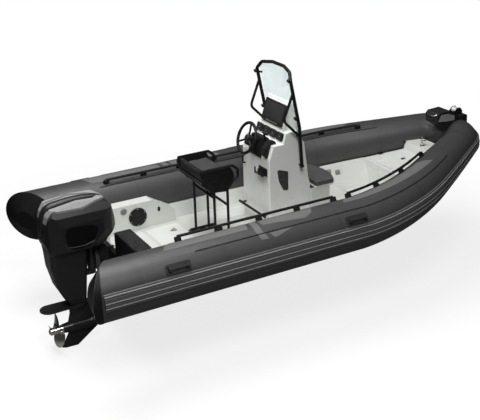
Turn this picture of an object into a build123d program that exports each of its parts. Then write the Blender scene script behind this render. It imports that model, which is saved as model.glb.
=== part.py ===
# Open rigid inflatable boat with a centre console and an outboard motor.
# Millimetres. +X forward, +Y port, +Z up. The origin is on the waterline,
# on the centreline, at the aft face of the transom.
import os
from math import asin, atan, cos, pi, radians, sin, sqrt
from build123d import *

os.makedirs("parts", exist_ok=True)

# --- Driving sizes -----------------------------------------------------
gap = 0.3                 # running clearance between curved neighbours
# buoyancy tubes
tube_radius = 270.0
tube_spacing = 2000.0     # between the two tube axes
tube_height = 280.0       # tube axis above the waterline
rim_x = -420.0            # aft end of a tube, on its axis
rim_slant = 0.71          # how much longer the outboard side is, per mm outboard
straight_end = 2330.0     # where the tubes start to bend inward
bend_radius = 2600.0
bend_angle = radians(26)
nose_radius = 390.0
nose_tube_radius = tube_radius - 100.0  # the tubes taper to this at the bow
taper_power = 2.0          # how late the taper comes
bow_rise = 300.0          # sheer of the tube axis at the bow
sheer_power = 1.35
# hull and cockpit
keel_depth = 270.0        # keel below the waterline
keel_straight_end = 2300.0
stem_x = 4300.0
stem_height = 300.0
keel_power = 3.6
bow_deadrise = 0.5        # steepest rise of the hull's V, per mm outboard
bottom_skin = 25.0        # least depth of hull below the cockpit floor
flange_angle = radians(42)    # where the hull side meets the tube
ledge_angle = radians(24)     # where the liner ledge meets the tube
topside_height = 80.0
sole_top = 30.0
sole_thickness = 10.0
wall_inset = 150.0
ledge_inset = 50.0
transom_thickness = 60.0
transom_top = 245.0
well_half = 290.0
quarter_top = tube_height + tube_radius - 70.0
quarter_end = 170.0
side_block_inner = 590.0
side_block_top = 330.0
side_block_end = 790.0
side_block_slope_end = 1060.0
locker_start = 3510.0
locker_top_aft = 300.0
locker_top_front = 385.0
step_start = 3950.0

tube_y = tube_spacing / 2
floor_z = sole_top - sole_thickness

# --- Tube line -------------------------------------------------------------
bend_length = bend_radius * bend_angle
run_length = (
    tube_y - bend_radius * (1 - cos(bend_angle)) - nose_radius * cos(bend_angle)
) / sin(bend_angle)
nose_length = nose_radius * (pi / 2 - bend_angle)
bow_length = bend_length + run_length + nose_length
bend_x = straight_end + bend_radius * sin(bend_angle)
bend_y = tube_y - bend_radius * (1 - cos(bend_angle))
run_x = bend_x + run_length * cos(bend_angle)
run_y = bend_y - run_length * sin(bend_angle)
nose_x = run_x + nose_radius * (1 - sin(bend_angle))


def bow_place(s):
    # x, y and heading of the port tube's axis, s mm along its bow
    if s <= bend_length:
        a = s / bend_radius
        return straight_end + bend_radius * sin(a), tube_y - bend_radius * (1 - cos(a)), a
    s -= bend_length
    if s <= run_length:
        return bend_x + s * cos(bend_angle), bend_y - s * sin(bend_angle), bend_angle
    a = bend_angle + (s - run_length) / nose_radius
    return (
        run_x + nose_radius * (sin(a) - sin(bend_angle)),
        run_y - nose_radius * (cos(bend_angle) - cos(a)),
        a,
    )


def sheer(x):
    share = max(0.0, (x - straight_end) / (nose_x - straight_end))
    return tube_height + bow_rise * share**sheer_power


def bow_radius(s):
    return tube_radius + (nose_tube_radius - tube_radius) * (s / bow_length) ** taper_power


def bow_plane(s):
    x, y, heading = bow_place(s)
    ahead, behind = bow_place(min(s + 1, bow_length)), bow_place(max(s - 1, 0))
    climb = (sheer(ahead[0]) - sheer(behind[0])) / 2
    if s <= 0 or s >= bow_length:
        climb = 0
    way = Vector(cos(heading), -sin(heading), climb)
    return Plane(origin=(x, y, sheer(x)), x_dir=(0, 0, 1), z_dir=way.normalized())


def tube_at(x):
    # y, z and half width of the port tube where the plane at x cuts it
    if x <= straight_end:
        return tube_y, tube_height, tube_radius
    low, high = 0.0, bow_length
    for _ in range(40):
        middle = (low + high) / 2
        if bow_place(middle)[0] < x:
            low = middle
        else:
            high = middle
    place = bow_place(low)
    return place[1], sheer(x), bow_radius(low) / cos(min(place[2], bend_angle))


bow_stations = [bend_length * k / 5 for k in range(6)]
bow_stations += [bend_length + run_length * k / 2 for k in (1, 2)]
bow_stations += [bend_length + run_length + nose_length * k / 5 for k in range(1, 6)]


def face_of(plane, points, rounding=0):
    with BuildSketch(plane) as shape:
        with BuildLine():
            Polyline(*points, close=True)
        make_face()
        if rounding:
            fillet(shape.vertices(), rounding)
    return shape.sketch


def prism(face, depth):
    return extrude(face, amount=depth, mode=Mode.PRIVATE)


def slab(points, y_low, y_high, rounding=0):
    # a prism across the boat from a side outline of (x, z) points
    return prism(face_of(Plane.XZ.offset(-y_high), points, rounding), y_high - y_low)


def board(points, z_low, z_high, rounding=0):
    # an upright prism from a plan outline of (x, y) points
    return prism(face_of(Plane.XY.offset(z_low), points, rounding), z_high - z_low)


def frame_of(points, x_low, x_high, rounding=0):
    # a prism along the boat from an end outline of (y, z) points
    return prism(face_of(Plane.YZ.offset(x_low), points, rounding), x_high - x_low)


def both_sides(points):
    # a closed plan outline from its port half
    return points + [(x, -y) for x, y in reversed(points)]


def rod(start, end, radius):
    way = Vector(*end) - Vector(*start)
    with BuildSketch(Plane(origin=start, z_dir=way.normalized())) as disc:
        Circle(radius)
    return prism(disc.sketch, way.length)


def bar(points, radius, bend):
    # a bent round bar through the points
    with BuildLine() as route:
        FilletPolyline(*points, radius=bend)
    with BuildSketch(Plane(origin=route.line @ 0, z_dir=route.line % 0)) as disc:
        Circle(radius)
    return sweep(disc.sketch, path=route.line, mode=Mode.PRIVATE)


def twin(shape):
    return mirror(shape, about=Plane.XZ, mode=Mode.PRIVATE)


def tube_form(extra):
    # the port tube, grown by extra, from its slanted end to the centreline
    with BuildPart() as form:
        with BuildSketch(Plane.YZ.offset(rim_x - rim_slant * tube_radius)):
            with Locations((tube_y, tube_height)):
                Circle(tube_radius + extra)
        extrude(amount=straight_end - rim_x + rim_slant * tube_radius)
    with BuildPart() as bow:
        for s in bow_stations:
            with BuildSketch(bow_plane(s)):
                Circle(bow_radius(s) + extra)
        loft(ruled=True)
    return form.part, bow.part


side_tube, bow_tube = tube_form(0)
side_void, bow_void = tube_form(gap)


def clear_of_tubes(shape):
    for void in (side_void, bow_void):
        shape = shape - void - twin(void)
    return shape


def keep(builder, label):
    builder.part.label = label
    export_step(builder.part, f"parts/{label}.step")


# --- Tubes -----------------------------------------------------------------
rim_plane = Plane(
    origin=(rim_x, tube_y, tube_height), x_dir=(-rim_slant, 1, 0), z_dir=(1, rim_slant, 0)
)
with BuildPart() as tube_port:
    add(side_tube)
    split(bisect_by=rim_plane, keep=Keep.TOP)
keep(tube_port, "tube_port")

with BuildPart() as tube_starboard:
    add(mirror(tube_port.part, about=Plane.XZ))
keep(tube_starboard, "tube_starboard")

with BuildPart() as bow_tube_port:
    add(bow_tube)
keep(bow_tube_port, "bow_tube_port")

with BuildPart() as bow_tube_starboard:
    add(mirror(bow_tube, about=Plane.XZ))
keep(bow_tube_starboard, "bow_tube_starboard")

# the closing cone on each tube's slanted end
cone_depth = 110.0
cone_share = 0.35
cone_wide = tube_radius * sqrt(1 + rim_slant**2)
with BuildPart() as tube_cones:
    with BuildSketch(rim_plane):
        Ellipse(cone_wide, tube_radius)
    with BuildSketch(rim_plane.offset(-cone_depth)):
        Ellipse(cone_wide * cone_share, tube_radius * cone_share)
    loft(ruled=True)
    mirror(about=Plane.XZ)
keep(tube_cones, "tube_cones")

# --- Hull ------------------------------------------------------------------
hull_stations = (transom_thickness, 1200.0, keel_straight_end, 2800.0, 3250.0, 3700.0, 4050.0, stem_x)


def keel_z(x):
    share = max(0.0, (x - keel_straight_end) / (stem_x - keel_straight_end))
    return -keel_depth + (stem_height + keel_depth) * share**keel_power


def hull_half(x):
    # the hull's side and the liner's top edge, as (y, z), where they meet the tube
    y, z, r = tube_at(x)
    side = (y - r * cos(flange_angle), z - r * sin(flange_angle))
    ledge = (y - r * cos(ledge_angle), z - r * sin(ledge_angle))
    return side, ledge


def chine_z(x):
    side_y, side_z = hull_half(x)[0]
    return min(side_z - topside_height, keel_z(x) + bow_deadrise * side_y)


def deadrise(x):
    return (chine_z(x) - keel_z(x)) / hull_half(x)[0][0]


def floor_half(x):
    # the liner walls stand inside the hull's V
    side_y = hull_half(x)[0][0]
    return min(side_y - wall_inset, (floor_z - bottom_skin - keel_z(x)) / deadrise(x))


def hull_section(x):
    (side_y, side_z), (ledge_y, ledge_z) = hull_half(x)
    half = [(side_y, chine_z(x)), (side_y, side_z), (ledge_y, ledge_z)]
    return [(0, keel_z(x))] + half + [(-y, z) for y, z in reversed(half)]


def cockpit_section(x):
    ledge_y, ledge_z = hull_half(x)[1]
    half = [(floor_half(x), floor_z), (ledge_y - ledge_inset, ledge_z), (ledge_y, 900)]
    return half + [(-y, z) for y, z in reversed(half)]


def station_loft(section, stations):
    with BuildPart() as form:
        for x in stations:
            add(face_of(Plane.YZ.offset(x), section(x)))
        loft(ruled=True)
    return form.part


hull_form = clear_of_tubes(station_loft(hull_section, hull_stations))
cockpit = station_loft(cockpit_section, hull_stations[:6])

# the moulded bow deck lies on the hull from locker_start forward
deck_thickness = 15.0
step_top = 487.0
step_end = 4170.0
bow_end = stem_x + 100
deck_line = [
    (locker_start, locker_top_aft),
    (step_start, locker_top_front),
    (step_start + 25, step_top),
    (step_end, step_top + 15),
]
under_deck = [
    (locker_start + deck_thickness, floor_z),
    (locker_start + deck_thickness, locker_top_aft - deck_thickness),
    (step_start, locker_top_front - deck_thickness),
    (bow_end, locker_top_front - deck_thickness),
]
locker_half = 225.0
locker_front = 3905.0
locker_skin = 45.0


def locker_section(x):
    # the locker's room follows the hull's V
    wide = locker_half - deck_thickness
    half = [(wide, keel_z(x) + deadrise(x) * wide + locker_skin), (wide, 900)]
    return [(0, max(keel_z(x) + locker_skin, floor_z))] + half + [(-y, z) for y, z in reversed(half)]


locker_room = station_loft(locker_section, (locker_start + 2 * deck_thickness, 3700.0, locker_front))
above_cockpit = board(
    both_sides([(0, 1200), (locker_start + deck_thickness, 1200)]), floor_z, 1200
)
above_deck = slab(under_deck[1:] + [(bow_end, 1200), (under_deck[1][0], 1200)], -900, 900)

with BuildPart() as hull:
    add(hull_form)
    add(above_cockpit, mode=Mode.SUBTRACT)
    add(above_deck, mode=Mode.SUBTRACT)
    add(locker_room, mode=Mode.SUBTRACT)
keep(hull, "hull")


sole_gap = 0.3
sole_half = [
    (transom_thickness + sole_gap, well_half - sole_gap),
    (quarter_end + sole_gap, well_half - sole_gap),
    (quarter_end + sole_gap, side_block_inner - sole_gap),
    (side_block_slope_end + sole_gap, side_block_inner - sole_gap),
    (side_block_slope_end + sole_gap, floor_half(side_block_slope_end) - sole_gap),
]
sole_stations = [x for x in hull_stations if side_block_slope_end < x < locker_start]
sole_half += [(x, floor_half(x) - sole_gap) for x in sole_stations]
# at the locker the liner wall runs straight between two hull stations
behind, ahead = hull_stations[4:6]
ahead_share = (locker_start - behind) / (ahead - behind)
sole_end_half = floor_half(behind) * (1 - ahead_share) + floor_half(ahead) * ahead_share
sole_half.append((locker_start - sole_gap, sole_end_half - sole_gap))
with BuildPart() as sole:
    add(board(both_sides(sole_half), floor_z, sole_top))
keep(sole, "sole")

# the liner wall and ledge on each side, with the raised block at its aft end
liner_room = board(
    [(quarter_end, 1), (locker_start, 1), (locker_start, 1200), (quarter_end, 1200)], floor_z, 900
)
ledge_y, ledge_z = hull_half(quarter_end)[1]
block_outline = [
    (quarter_end, floor_z),
    (quarter_end, side_block_top),
    (side_block_end, side_block_top),
    (side_block_slope_end, ledge_z),
    (side_block_slope_end, floor_z),
]
block_form = clear_of_tubes(slab(block_outline, side_block_inner, hull_half(quarter_end)[0][0]))
with BuildPart() as liner_port:
    add(hull_form & liner_room)
    add(cockpit, mode=Mode.SUBTRACT)
    add(block_form)
keep(liner_port, "liner_port")

with BuildPart() as liner_starboard:
    add(mirror(liner_port.part, about=Plane.XZ))
keep(liner_starboard, "liner_starboard")

# --- Transom and quarters --------------------------------------------------
(side_y, side_z), _ = hull_half(0)
quarter_out = tube_y - tube_radius * cos(asin((quarter_top - tube_height) / tube_radius))
quarter_edge = [(side_y, side_z), (tube_y - tube_radius, tube_height), (quarter_out, quarter_top)]
transom_half = [(side_y, chine_z(0))] + quarter_edge
transom_half += [(well_half, quarter_top), (well_half, transom_top)]
transom_outline = [(0, -keel_depth)] + transom_half + [(-y, z) for y, z in reversed(transom_half)]
transom_form = clear_of_tubes(frame_of(transom_outline, 0, transom_thickness))
with BuildPart() as transom:
    add(transom_form)
keep(transom, "transom")

quarter_outline = [(well_half, floor_z), (side_y, floor_z)] + quarter_edge + [(well_half, quarter_top)]
quarter_form = clear_of_tubes(frame_of(quarter_outline, transom_thickness, quarter_end))
with BuildPart() as quarter_blocks:
    add(quarter_form)
    add(twin(quarter_form))
keep(quarter_blocks, "quarter_blocks")

pad_thickness = 8.0
pad_edge = 12.0
with BuildPart() as quarter_pads:
    with BuildSketch(Plane.XY.offset(quarter_top)):
        for side in (-1, 1):
            with Locations((quarter_end / 2, side * (well_half + quarter_out) / 2)):
                RectangleRounded(quarter_end - pad_edge, quarter_out - well_half - 2 * pad_edge, 20)
    extrude(amount=pad_thickness)
keep(quarter_pads, "quarter_pads")

# --- Bow deck, locker and lid ----------------------------------------------
lid_thickness = 25.0
lid_seat = 0.3
lid_start = locker_start + 15.0
locker_slope = (locker_top_front - locker_top_aft) / (step_start - locker_start)


def locker_top(x):
    return locker_top_aft + locker_slope * (x - locker_start)


deck_side = slab(
    [(locker_start, floor_z)] + deck_line + [(step_end + 30, 400), under_deck[3]] + under_deck[2::-1],
    -600,
    600,
)
step_side = slab(deck_line[1:] + [(step_end + 30, 400), (step_start, 370)], -250, 250)
deck_form = clear_of_tubes((hull_form & deck_side) + step_side)
with BuildPart() as bow_deck:
    add(deck_form)
    add(locker_room, mode=Mode.SUBTRACT)
keep(bow_deck, "bow_deck")

lid_line = [lid_start, locker_front - 5]
lid_outline = [(x, locker_top(x) + lid_seat) for x in lid_line]
lid_outline += [(x, locker_top(x) + lid_thickness) for x in reversed(lid_line)]
with BuildPart() as locker_lid:
    add(slab(lid_outline, -locker_half, locker_half))
    fillet(locker_lid.edges().filter_by(Axis.Z), 20)
keep(locker_lid, "locker_lid")

post_x = 4020.0
post_base = step_top + 4
post_height = 110.0
with BuildPart() as samson_post:
    add(rod((post_x, 0, post_base - 12), (post_x, 0, post_base + 6), 30))
    add(rod((post_x, 0, post_base), (post_x, 0, post_base + post_height), 12))
    add(rod((post_x, -55, post_base + 75), (post_x, 55, post_base + 75), 8))
    add(deck_form, mode=Mode.SUBTRACT)
keep(samson_post, "samson_post")

# --- Bow plate and roller --------------------------------------------------
nose_top = tube_height + bow_rise + nose_tube_radius
plate_half = 105.0
plate_aft, plate_reach = nose_x - 341, nose_x + 120
plate_top, plate_foot = nose_top + 76, nose_top - 120
roller_x, roller_z, roller_radius = nose_x + 24, nose_top + 96, 36.0
roller_pin = 8.0
roller_seat = roller_z - roller_radius - 8
pin_play = 0.1
cheek_in, cheek_out = 39.0, 47.0
housing_top = nose_top + 139
plate_outline = [
    (plate_aft + 200, plate_foot),
    (plate_aft, nose_top + 10),
    (plate_aft - 5, housing_top - 40),
    (plate_aft + 25, housing_top - 7),
    (plate_aft + 190, housing_top),
    (plate_aft + 270, plate_top + 22),
    (roller_x - roller_radius - 8, roller_seat),
    (plate_reach - 10, roller_seat),
    (plate_reach, plate_foot),
]
cheek_outline = [
    (roller_x - 100, roller_z - 56),
    (roller_x - 70, roller_z - 16),
    (roller_x - 20, roller_z + roller_radius),
    (roller_x + 25, roller_z + roller_radius),
    (roller_x + 60, roller_z - 6),
    (roller_x + 60, roller_z - 76),
]
with BuildPart() as plate_block:
    add(slab(plate_outline, -plate_half, plate_half, 12))
    for side in (-1, 1):
        low, high = sorted((side * cheek_in, side * cheek_out))
        add(slab(cheek_outline, low, high, 8))
    add(rod((roller_x, -cheek_out, roller_z), (roller_x, cheek_out, roller_z), roller_pin))
plate_form = clear_of_tubes(plate_block.part)
with BuildPart() as bow_plate:
    add(plate_form)
keep(bow_plate, "bow_plate")

roller_half = cheek_in - 2
roller_bore = roller_pin + pin_play
roller_waist = roller_radius - 14
with BuildPart() as bow_roller:
    with BuildSketch(Plane.XY.offset(roller_z)):
        with BuildLine():
            Polyline(
                (roller_x + roller_waist, 0),
                (roller_x + roller_radius, roller_half),
                (roller_x + roller_bore, roller_half),
                (roller_x + roller_bore, -roller_half),
                (roller_x + roller_radius, -roller_half),
                close=True,
            )
        make_face()
    revolve(axis=Axis((roller_x, 0, roller_z), (0, 1, 0)))
keep(bow_roller, "bow_roller")

# --- Strakes, grab rails and carry handles ---------------------------------
strake_low, strake_high = radians(-12), radians(24)   # about the tube's outboard point
strake_depth = 12.0
strake_start = rim_x - 85.0
ridge_angles = (radians(-5), radians(5), radians(17.5))
ridge_rise, edge_turn = 6.0, 0.03


def strake_section(radius, grown):
    # the strake's face in the tube's own plane: x up, y outboard for the port side
    points = [(radius * sin(a), radius * cos(a)) for a in (strake_low, strake_high)]
    outer = radius + grown
    ridges = []
    steps = (strake_low + edge_turn,) + ridge_angles + (strake_high - edge_turn,)
    for n, a in enumerate(steps):
        crest = outer + (ridge_rise if a in ridge_angles else 0)
        ridges.append((crest * sin(a), crest * cos(a)))
        if n < len(steps) - 1:
            middle = (a + steps[n + 1]) / 2
            ridges.append((outer * sin(middle), outer * cos(middle)))
    return points[:1] + ridges + points[1:]


with BuildPart() as strake_bow:
    for s in bow_stations:
        outline = strake_section(bow_radius(s), strake_depth)
        add(face_of(bow_plane(s), [(z, -y) for z, y in outline]))
    loft(ruled=True)
outline = strake_section(tube_radius, strake_depth)
strake_side = frame_of([(tube_y + y, tube_height + z) for z, y in outline], strake_start, straight_end)
strake_form = clear_of_tubes(strake_side + strake_bow.part)
with BuildPart() as strakes:
    add(strake_form)
    add(twin(strake_form))
keep(strakes, "strakes")

rail_radius = 14.0
rail_stand = 48.0            # rail axis above the tube's skin
rail_angle = radians(27)     # inboard of the tube's top
saddle_length = 70.0
rail_rows = (                # name, first and last x, number of saddles
    ("aft", 400.0, 2145.0, 5),
    ("forward", 2330.0, 3590.0, 4),
)


def bow_share(x):
    # distance along the bow at which the tube's axis passes x
    low, high = 0.0, bow_length
    for _ in range(40):
        middle = (low + high) / 2
        if bow_place(middle)[0] < x:
            low = middle
        else:
            high = middle
    return low


def skin_plane(x, angle, lift):
    # a plane at the port tube's skin, its x along the tube and its z outward
    if x <= straight_end:
        axis, along, radius = Vector(x, tube_y, tube_height), Vector(1, 0, 0), tube_radius
    else:
        s = bow_share(x)
        plane = bow_plane(s)
        axis, along, radius = plane.origin, plane.z_dir, bow_radius(s)
    side = Vector(0, 0, 1).cross(along).normalized()
    up = along.cross(side)
    out = up * cos(angle) - side * sin(angle)
    return Plane(origin=axis + out * (radius + lift), x_dir=along, z_dir=out)


def rail_form(first, last, count):
    stations = [first + (last - first) * k / (count - 1) for k in range(count)]
    points = [skin_plane(x, rail_angle, rail_stand).origin for x in stations]
    with BuildPart() as form:
        with BuildLine() as route:
            if last <= straight_end:
                Line(points[0], points[-1])
            else:
                Spline(*points)
        with BuildSketch(Plane(origin=route.line @ 0, z_dir=route.line % 0)):
            Circle(rail_radius)
        sweep(path=route.line)
        for x in stations:
            with BuildSketch(skin_plane(x, rail_angle, -6)):
                RectangleRounded(saddle_length, 2.4 * rail_radius, 10)
            extrude(amount=rail_stand + 6, taper=4)
    return clear_of_tubes(form.part)


for name, first, last, count in rail_rows:
    side_rail = rail_form(first, last, count)
    with BuildPart() as rails:
        add(side_rail)
        add(twin(side_rail))
    keep(rails, f"{name}_grab_rails")

handle_angle = radians(-53)
handle_places = (230.0, 2185.0)
handle_length, handle_wide = 215.0, 62.0
handle_pad = 5.0
grip_low, grip_depth, grip_wide = 30.0, 14.0, 26.0
grip_foot = 36.0
handle_sink = 8.0            # the pad follows the tube's round from below its skin
with BuildPart() as handle_side:
    for x in handle_places:
        with BuildSketch(skin_plane(x, handle_angle, -handle_sink)):
            RectangleRounded(handle_length + 40, handle_wide + 30, 20)
        extrude(amount=handle_sink + handle_pad)
        with BuildSketch(skin_plane(x, handle_angle, 0)):
            with GridLocations(handle_length - grip_foot, 0, 2, 1):
                RectangleRounded(grip_foot, handle_wide, 10)
        extrude(amount=grip_low + 4, taper=6)
        with BuildSketch(skin_plane(x, handle_angle, grip_low)):
            RectangleRounded(handle_length, grip_wide, 10)
        extrude(amount=grip_depth)
handle_form = clear_of_tubes(handle_side.part)
with BuildPart() as carry_handles:
    add(handle_form)
    add(twin(handle_form))
keep(carry_handles, "carry_handles")

# --- Console ---------------------------------------------------------------
console_half = 280.0
console_aft = 1755.0
console_wall = 14.0
helm_foot, helm_top = 850.0, 1000.0
shelf_start, shelf_end = console_aft + 50, console_aft + 170
dash_x, dash_top = shelf_end + 30, 1110.0
brow_x, brow_z = console_aft + 435, 965.0
front_x, front_z = console_aft + 507, 575.0
console_side = [
    (console_aft, sole_top),
    (console_aft, helm_foot),
    (shelf_start, helm_top),
    (shelf_end, helm_top),
    (dash_x, dash_top),
    (dash_x + 135, dash_top + 10),
    (brow_x, brow_z),
    (front_x - 22, front_z),
    (front_x, 500),
    (front_x, sole_top),
]
console_room = [
    (console_aft + console_wall, sole_top),
    (console_aft + console_wall, helm_foot - 20),
    (shelf_start + 10, helm_top - 60),
    (brow_x - 30, brow_z - 40),
    (front_x - 2 * console_wall, 500),
    (front_x - console_wall, sole_top),
]
pocket_outline = [(91, 736), (230, 690), (232, 472), (168, 487), (114, 595)]
pocket_outline = [(console_aft + x, z) for x, z in pocket_outline]
pocket_depth = 6.0
pod_half = 222.0
pod_x, pod_foot_z, pod_top_z = dash_x - 11, 1068.0, 1400.0
pod_foot, pod_top = (pod_x, pod_foot_z), (pod_x + 108, pod_top_z)
pod_side = [pod_foot, pod_top, (pod_x + 138, pod_top_z), (pod_x + 196, 1180)]
pod_side += [(pod_x + 206, 1000), (pod_x + 16, 1000)]
with BuildPart() as console:
    with BuildSketch(Plane.XZ.offset(-console_half)) as side_outline:
        with BuildLine():
            Polyline(*console_side, close=True)
        make_face()
        upper = [v for v in side_outline.vertices() if v.Z > sole_top + 10]
        fillet(upper, 18)
    extrude(amount=2 * console_half)
    rims = [e for e in console.edges() if abs(abs(e.center().Y) - console_half) < 1]
    fillet([e for e in rims if e.center().Z > sole_top + 1], 14)
    add(slab(pod_side, -pod_half, pod_half, 8))
    add(slab(console_room, console_wall - console_half, console_half - console_wall), mode=Mode.SUBTRACT)
    add(slab(pocket_outline, -console_half - 1, pocket_depth - console_half, 20), mode=Mode.SUBTRACT)
keep(console, "console")

pocket_seat = 0.3
with BuildPart() as pocket_door:
    with BuildSketch(Plane.XZ.offset(console_half - pocket_depth + pocket_seat)) as door_outline:
        with BuildLine():
            Polyline(*pocket_outline, close=True)
        make_face()
        offset(amount=-3, kind=Kind.INTERSECTION)
        fillet(door_outline.vertices(), 18)
    extrude(amount=pocket_depth - pocket_seat)
keep(pocket_door, "pocket_door")


def tilted(low, high, share, y=0.0):
    # the plane on a face that rises from low to high (x, z), looking aft and up
    rise = Vector(high[0] - low[0], 0, high[1] - low[1])
    place = Vector(low[0], y, low[1]) + rise * share
    return Plane(origin=place, x_dir=(0, -1, 0), z_dir=(-rise.Z, 0, rise.X))


display_wide, display_high, display_deep = 400.0, 232.0, 22.0
with BuildPart() as display:
    with BuildSketch(tilted(pod_foot, pod_top, 0.57)):
        RectangleRounded(display_wide, display_high, 14)
    extrude(amount=display_deep)
keep(display, "display")

gauge_side, gauge_pitch, gauge_deep = 114.0, 133.0, 14.0
dash_face = tilted((shelf_end, helm_top), (dash_x, dash_top), 0.53)
dial_radius = 36.0
with BuildPart() as gauges:
    with BuildSketch(dash_face):
        with GridLocations(gauge_pitch, 0, 4, 1):
            RectangleRounded(gauge_side, 84, 12)
    extrude(amount=gauge_deep)
    with BuildSketch(dash_face.offset(gauge_deep)):
        with GridLocations(gauge_pitch, 0, 4, 1):
            Circle(dial_radius)
    extrude(amount=-5, mode=Mode.SUBTRACT)
keep(gauges, "gauges")

# --- Helm ------------------------------------------------------------------
wheel_tilt = radians(22.4)
wheel_x, wheel_z = console_aft - 101, 1043.0
wheel_radius, wheel_grip = 175.0, 15.0
helm_half = 120.0
hub_reach = 150.0             # from the wheel to the helm unit in the console
helm_boss, boss_length = 42.0, 90.0
wheel_hub, hub_depth, spoke_radius = 38.0, 50.0, 11.0
shaft_radius, shaft_play = 12.0, 0.1
helm_side = [
    (console_aft, helm_foot - 20),
    (console_aft - 14, helm_foot - 10),
    (console_aft - 14, helm_foot + 20),
    (shelf_start - 22, helm_top + 40),
    (shelf_start + 40, helm_top + 40),
    (shelf_start + 60, helm_top),
    (shelf_start, helm_top),
    (console_aft, helm_foot),
]
wheel_plane = Plane(
    origin=(wheel_x, 0, wheel_z), x_dir=(0, -1, 0), z_dir=(-cos(wheel_tilt), 0, sin(wheel_tilt))
)
helm_form = slab(helm_side, -helm_half, helm_half)
with BuildPart() as helm:
    add(helm_form)
    with BuildSketch(wheel_plane.offset(-hub_reach - 10)):
        Circle(helm_boss)
    extrude(amount=boss_length, taper=6)
    with BuildSketch(wheel_plane.offset(-hub_reach)):
        Circle(shaft_radius)
    extrude(amount=hub_reach - 8)
    add(console.part, mode=Mode.SUBTRACT)
keep(helm, "helm")

with BuildPart() as steering_wheel:
    with BuildSketch(Plane(origin=wheel_plane.origin, x_dir=wheel_plane.z_dir, z_dir=(0, 1, 0))):
        with Locations((0, wheel_radius - wheel_grip)):
            Circle(wheel_grip)
    revolve(axis=Axis(wheel_plane.origin, wheel_plane.z_dir))
    rim_middle = wheel_radius - wheel_grip
    hub = wheel_plane.from_local_coords(Vector(0, 0, -hub_depth / 2))
    for turn in (90, 210, 330):
        spoke_end = Vector(cos(radians(turn)), sin(radians(turn)), 0) * rim_middle
        add(rod(hub, wheel_plane.from_local_coords(spoke_end), spoke_radius))
    with BuildSketch(wheel_plane.offset(-hub_depth)):
        Circle(wheel_hub)
    extrude(amount=hub_depth - 2)
    with BuildSketch(wheel_plane.offset(-hub_depth - 10)):
        Circle(shaft_radius + shaft_play)
    extrude(amount=hub_depth + 4, mode=Mode.SUBTRACT)
keep(steering_wheel, "steering_wheel")

throttle_y, throttle_half = -205.0, 32.0
lever_x, lever_boss, lever_thickness = shelf_start - 20, 22.0, 10.0
lever_knob, knob_x, knob_z = 15.0, shelf_start - 43, helm_top + 126
throttle_side = [
    (console_aft + 2, helm_foot + 3),
    (console_aft - 42, helm_foot + 60),
    (console_aft - 20, helm_foot + 128),
    (shelf_start - 5, helm_top + 48),
    (shelf_start + 55, helm_top + 30),
    (shelf_start + 62, helm_top - 4),
    (shelf_start, helm_top - 20),
]
with BuildPart() as throttle_box:
    add(slab(throttle_side, throttle_y - throttle_half, throttle_y + throttle_half, 8))
    add(console.part, mode=Mode.SUBTRACT)
keep(throttle_box, "throttle_box")

with BuildPart() as throttle_lever:
    side_y = throttle_y + throttle_half
    outer_y = side_y + 2 + lever_thickness
    add(rod((lever_x, side_y, helm_top), (lever_x, outer_y, helm_top), lever_boss))
    lever_side = [(lever_x - 10, helm_top), (lever_x + 10, helm_top)]
    lever_side += [(knob_x + 10, knob_z + 4), (knob_x - 10, knob_z - 4)]
    add(slab(lever_side, side_y + 2, outer_y))
    add(rod((knob_x, throttle_y - throttle_half, knob_z), (knob_x, outer_y + 6, knob_z), lever_knob))
    add(throttle_box.part, mode=Mode.SUBTRACT)
    add(console.part, mode=Mode.SUBTRACT)
keep(throttle_lever, "throttle_lever")

footrest_z, footrest_half = 230.0, 270.0
bar_x = console_aft - 55          # how far aft the bars and the holder reach
holder_z, holder_y = 672.0, (-230.0, -160.0, -90.0)
grip_y, grip_bottom, grip_top = 222.0, 684.0, 772.0
with BuildPart() as console_bars:
    # footrest, holder bracket and hand grip on the aft face
    add(rod((bar_x, -footrest_half, footrest_z), (bar_x, footrest_half, footrest_z), 14))
    for y in (-grip_y, grip_y):
        add(rod((bar_x, y, footrest_z), (console_aft, y, footrest_z), 10))
    holder_back = [(console_aft - 5, holder_z - 12), (console_aft, holder_z - 12)]
    holder_back += [(console_aft, holder_z + 73), (console_aft - 5, holder_z + 73)]
    add(slab(holder_back, holder_y[0] - 9, holder_y[2] + 20))
    holder_shelf = [(bar_x, holder_z), (console_aft, holder_z)]
    holder_shelf += [(console_aft, holder_z + 12), (bar_x, holder_z + 12)]
    add(slab(holder_shelf, holder_y[0], holder_y[2] + 10))
    lip = [(bar_x - 10, holder_z), (bar_x + 2, holder_z)]
    lip += [(bar_x + 2, holder_z + 70), (bar_x - 10, holder_z + 70)]
    for y in holder_y:
        add(slab(lip, y, y + 10))
    grip = [(console_aft, grip_top), (console_aft - 30, grip_top)]
    grip += [(console_aft - 30, grip_bottom), (console_aft, grip_bottom)]
    add(bar([(x, grip_y, z) for x, z in grip], 9, 14))
keep(console_bars, "console_bars")

# --- Windscreen ------------------------------------------------------------
frame_half, frame_tube = 330.0, 18.0
brace_tube = 14.0
frame_x = console_aft + 335     # where the uprights bend, at the dash's height
frame_low, frame_knee, frame_high = (frame_x + 33, 725.0), (frame_x, 1170.0), (frame_x - 105, 1667.0)
frame_side = [(x, frame_half, z) for x, z in (frame_low, frame_knee, frame_high)]
frame_side += [(frame_x - 78, 270, 1742), (frame_x - 45, 110, 1768)]
foot_x, brace_x = frame_x + 33, frame_x + 8
glass_gap = 0.3
glass_thickness = 6.0
glass_half, glass_bulge = 318.0, 105.0
glass_low, glass_high = 1125.0, 1735.0


def upright_x(z):
    if z < frame_knee[1]:
        low, high = frame_low, frame_knee
    else:
        low, high = frame_knee, frame_high
    return low[0] + (high[0] - low[0]) * (z - low[1]) / (high[1] - low[1])


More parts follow.
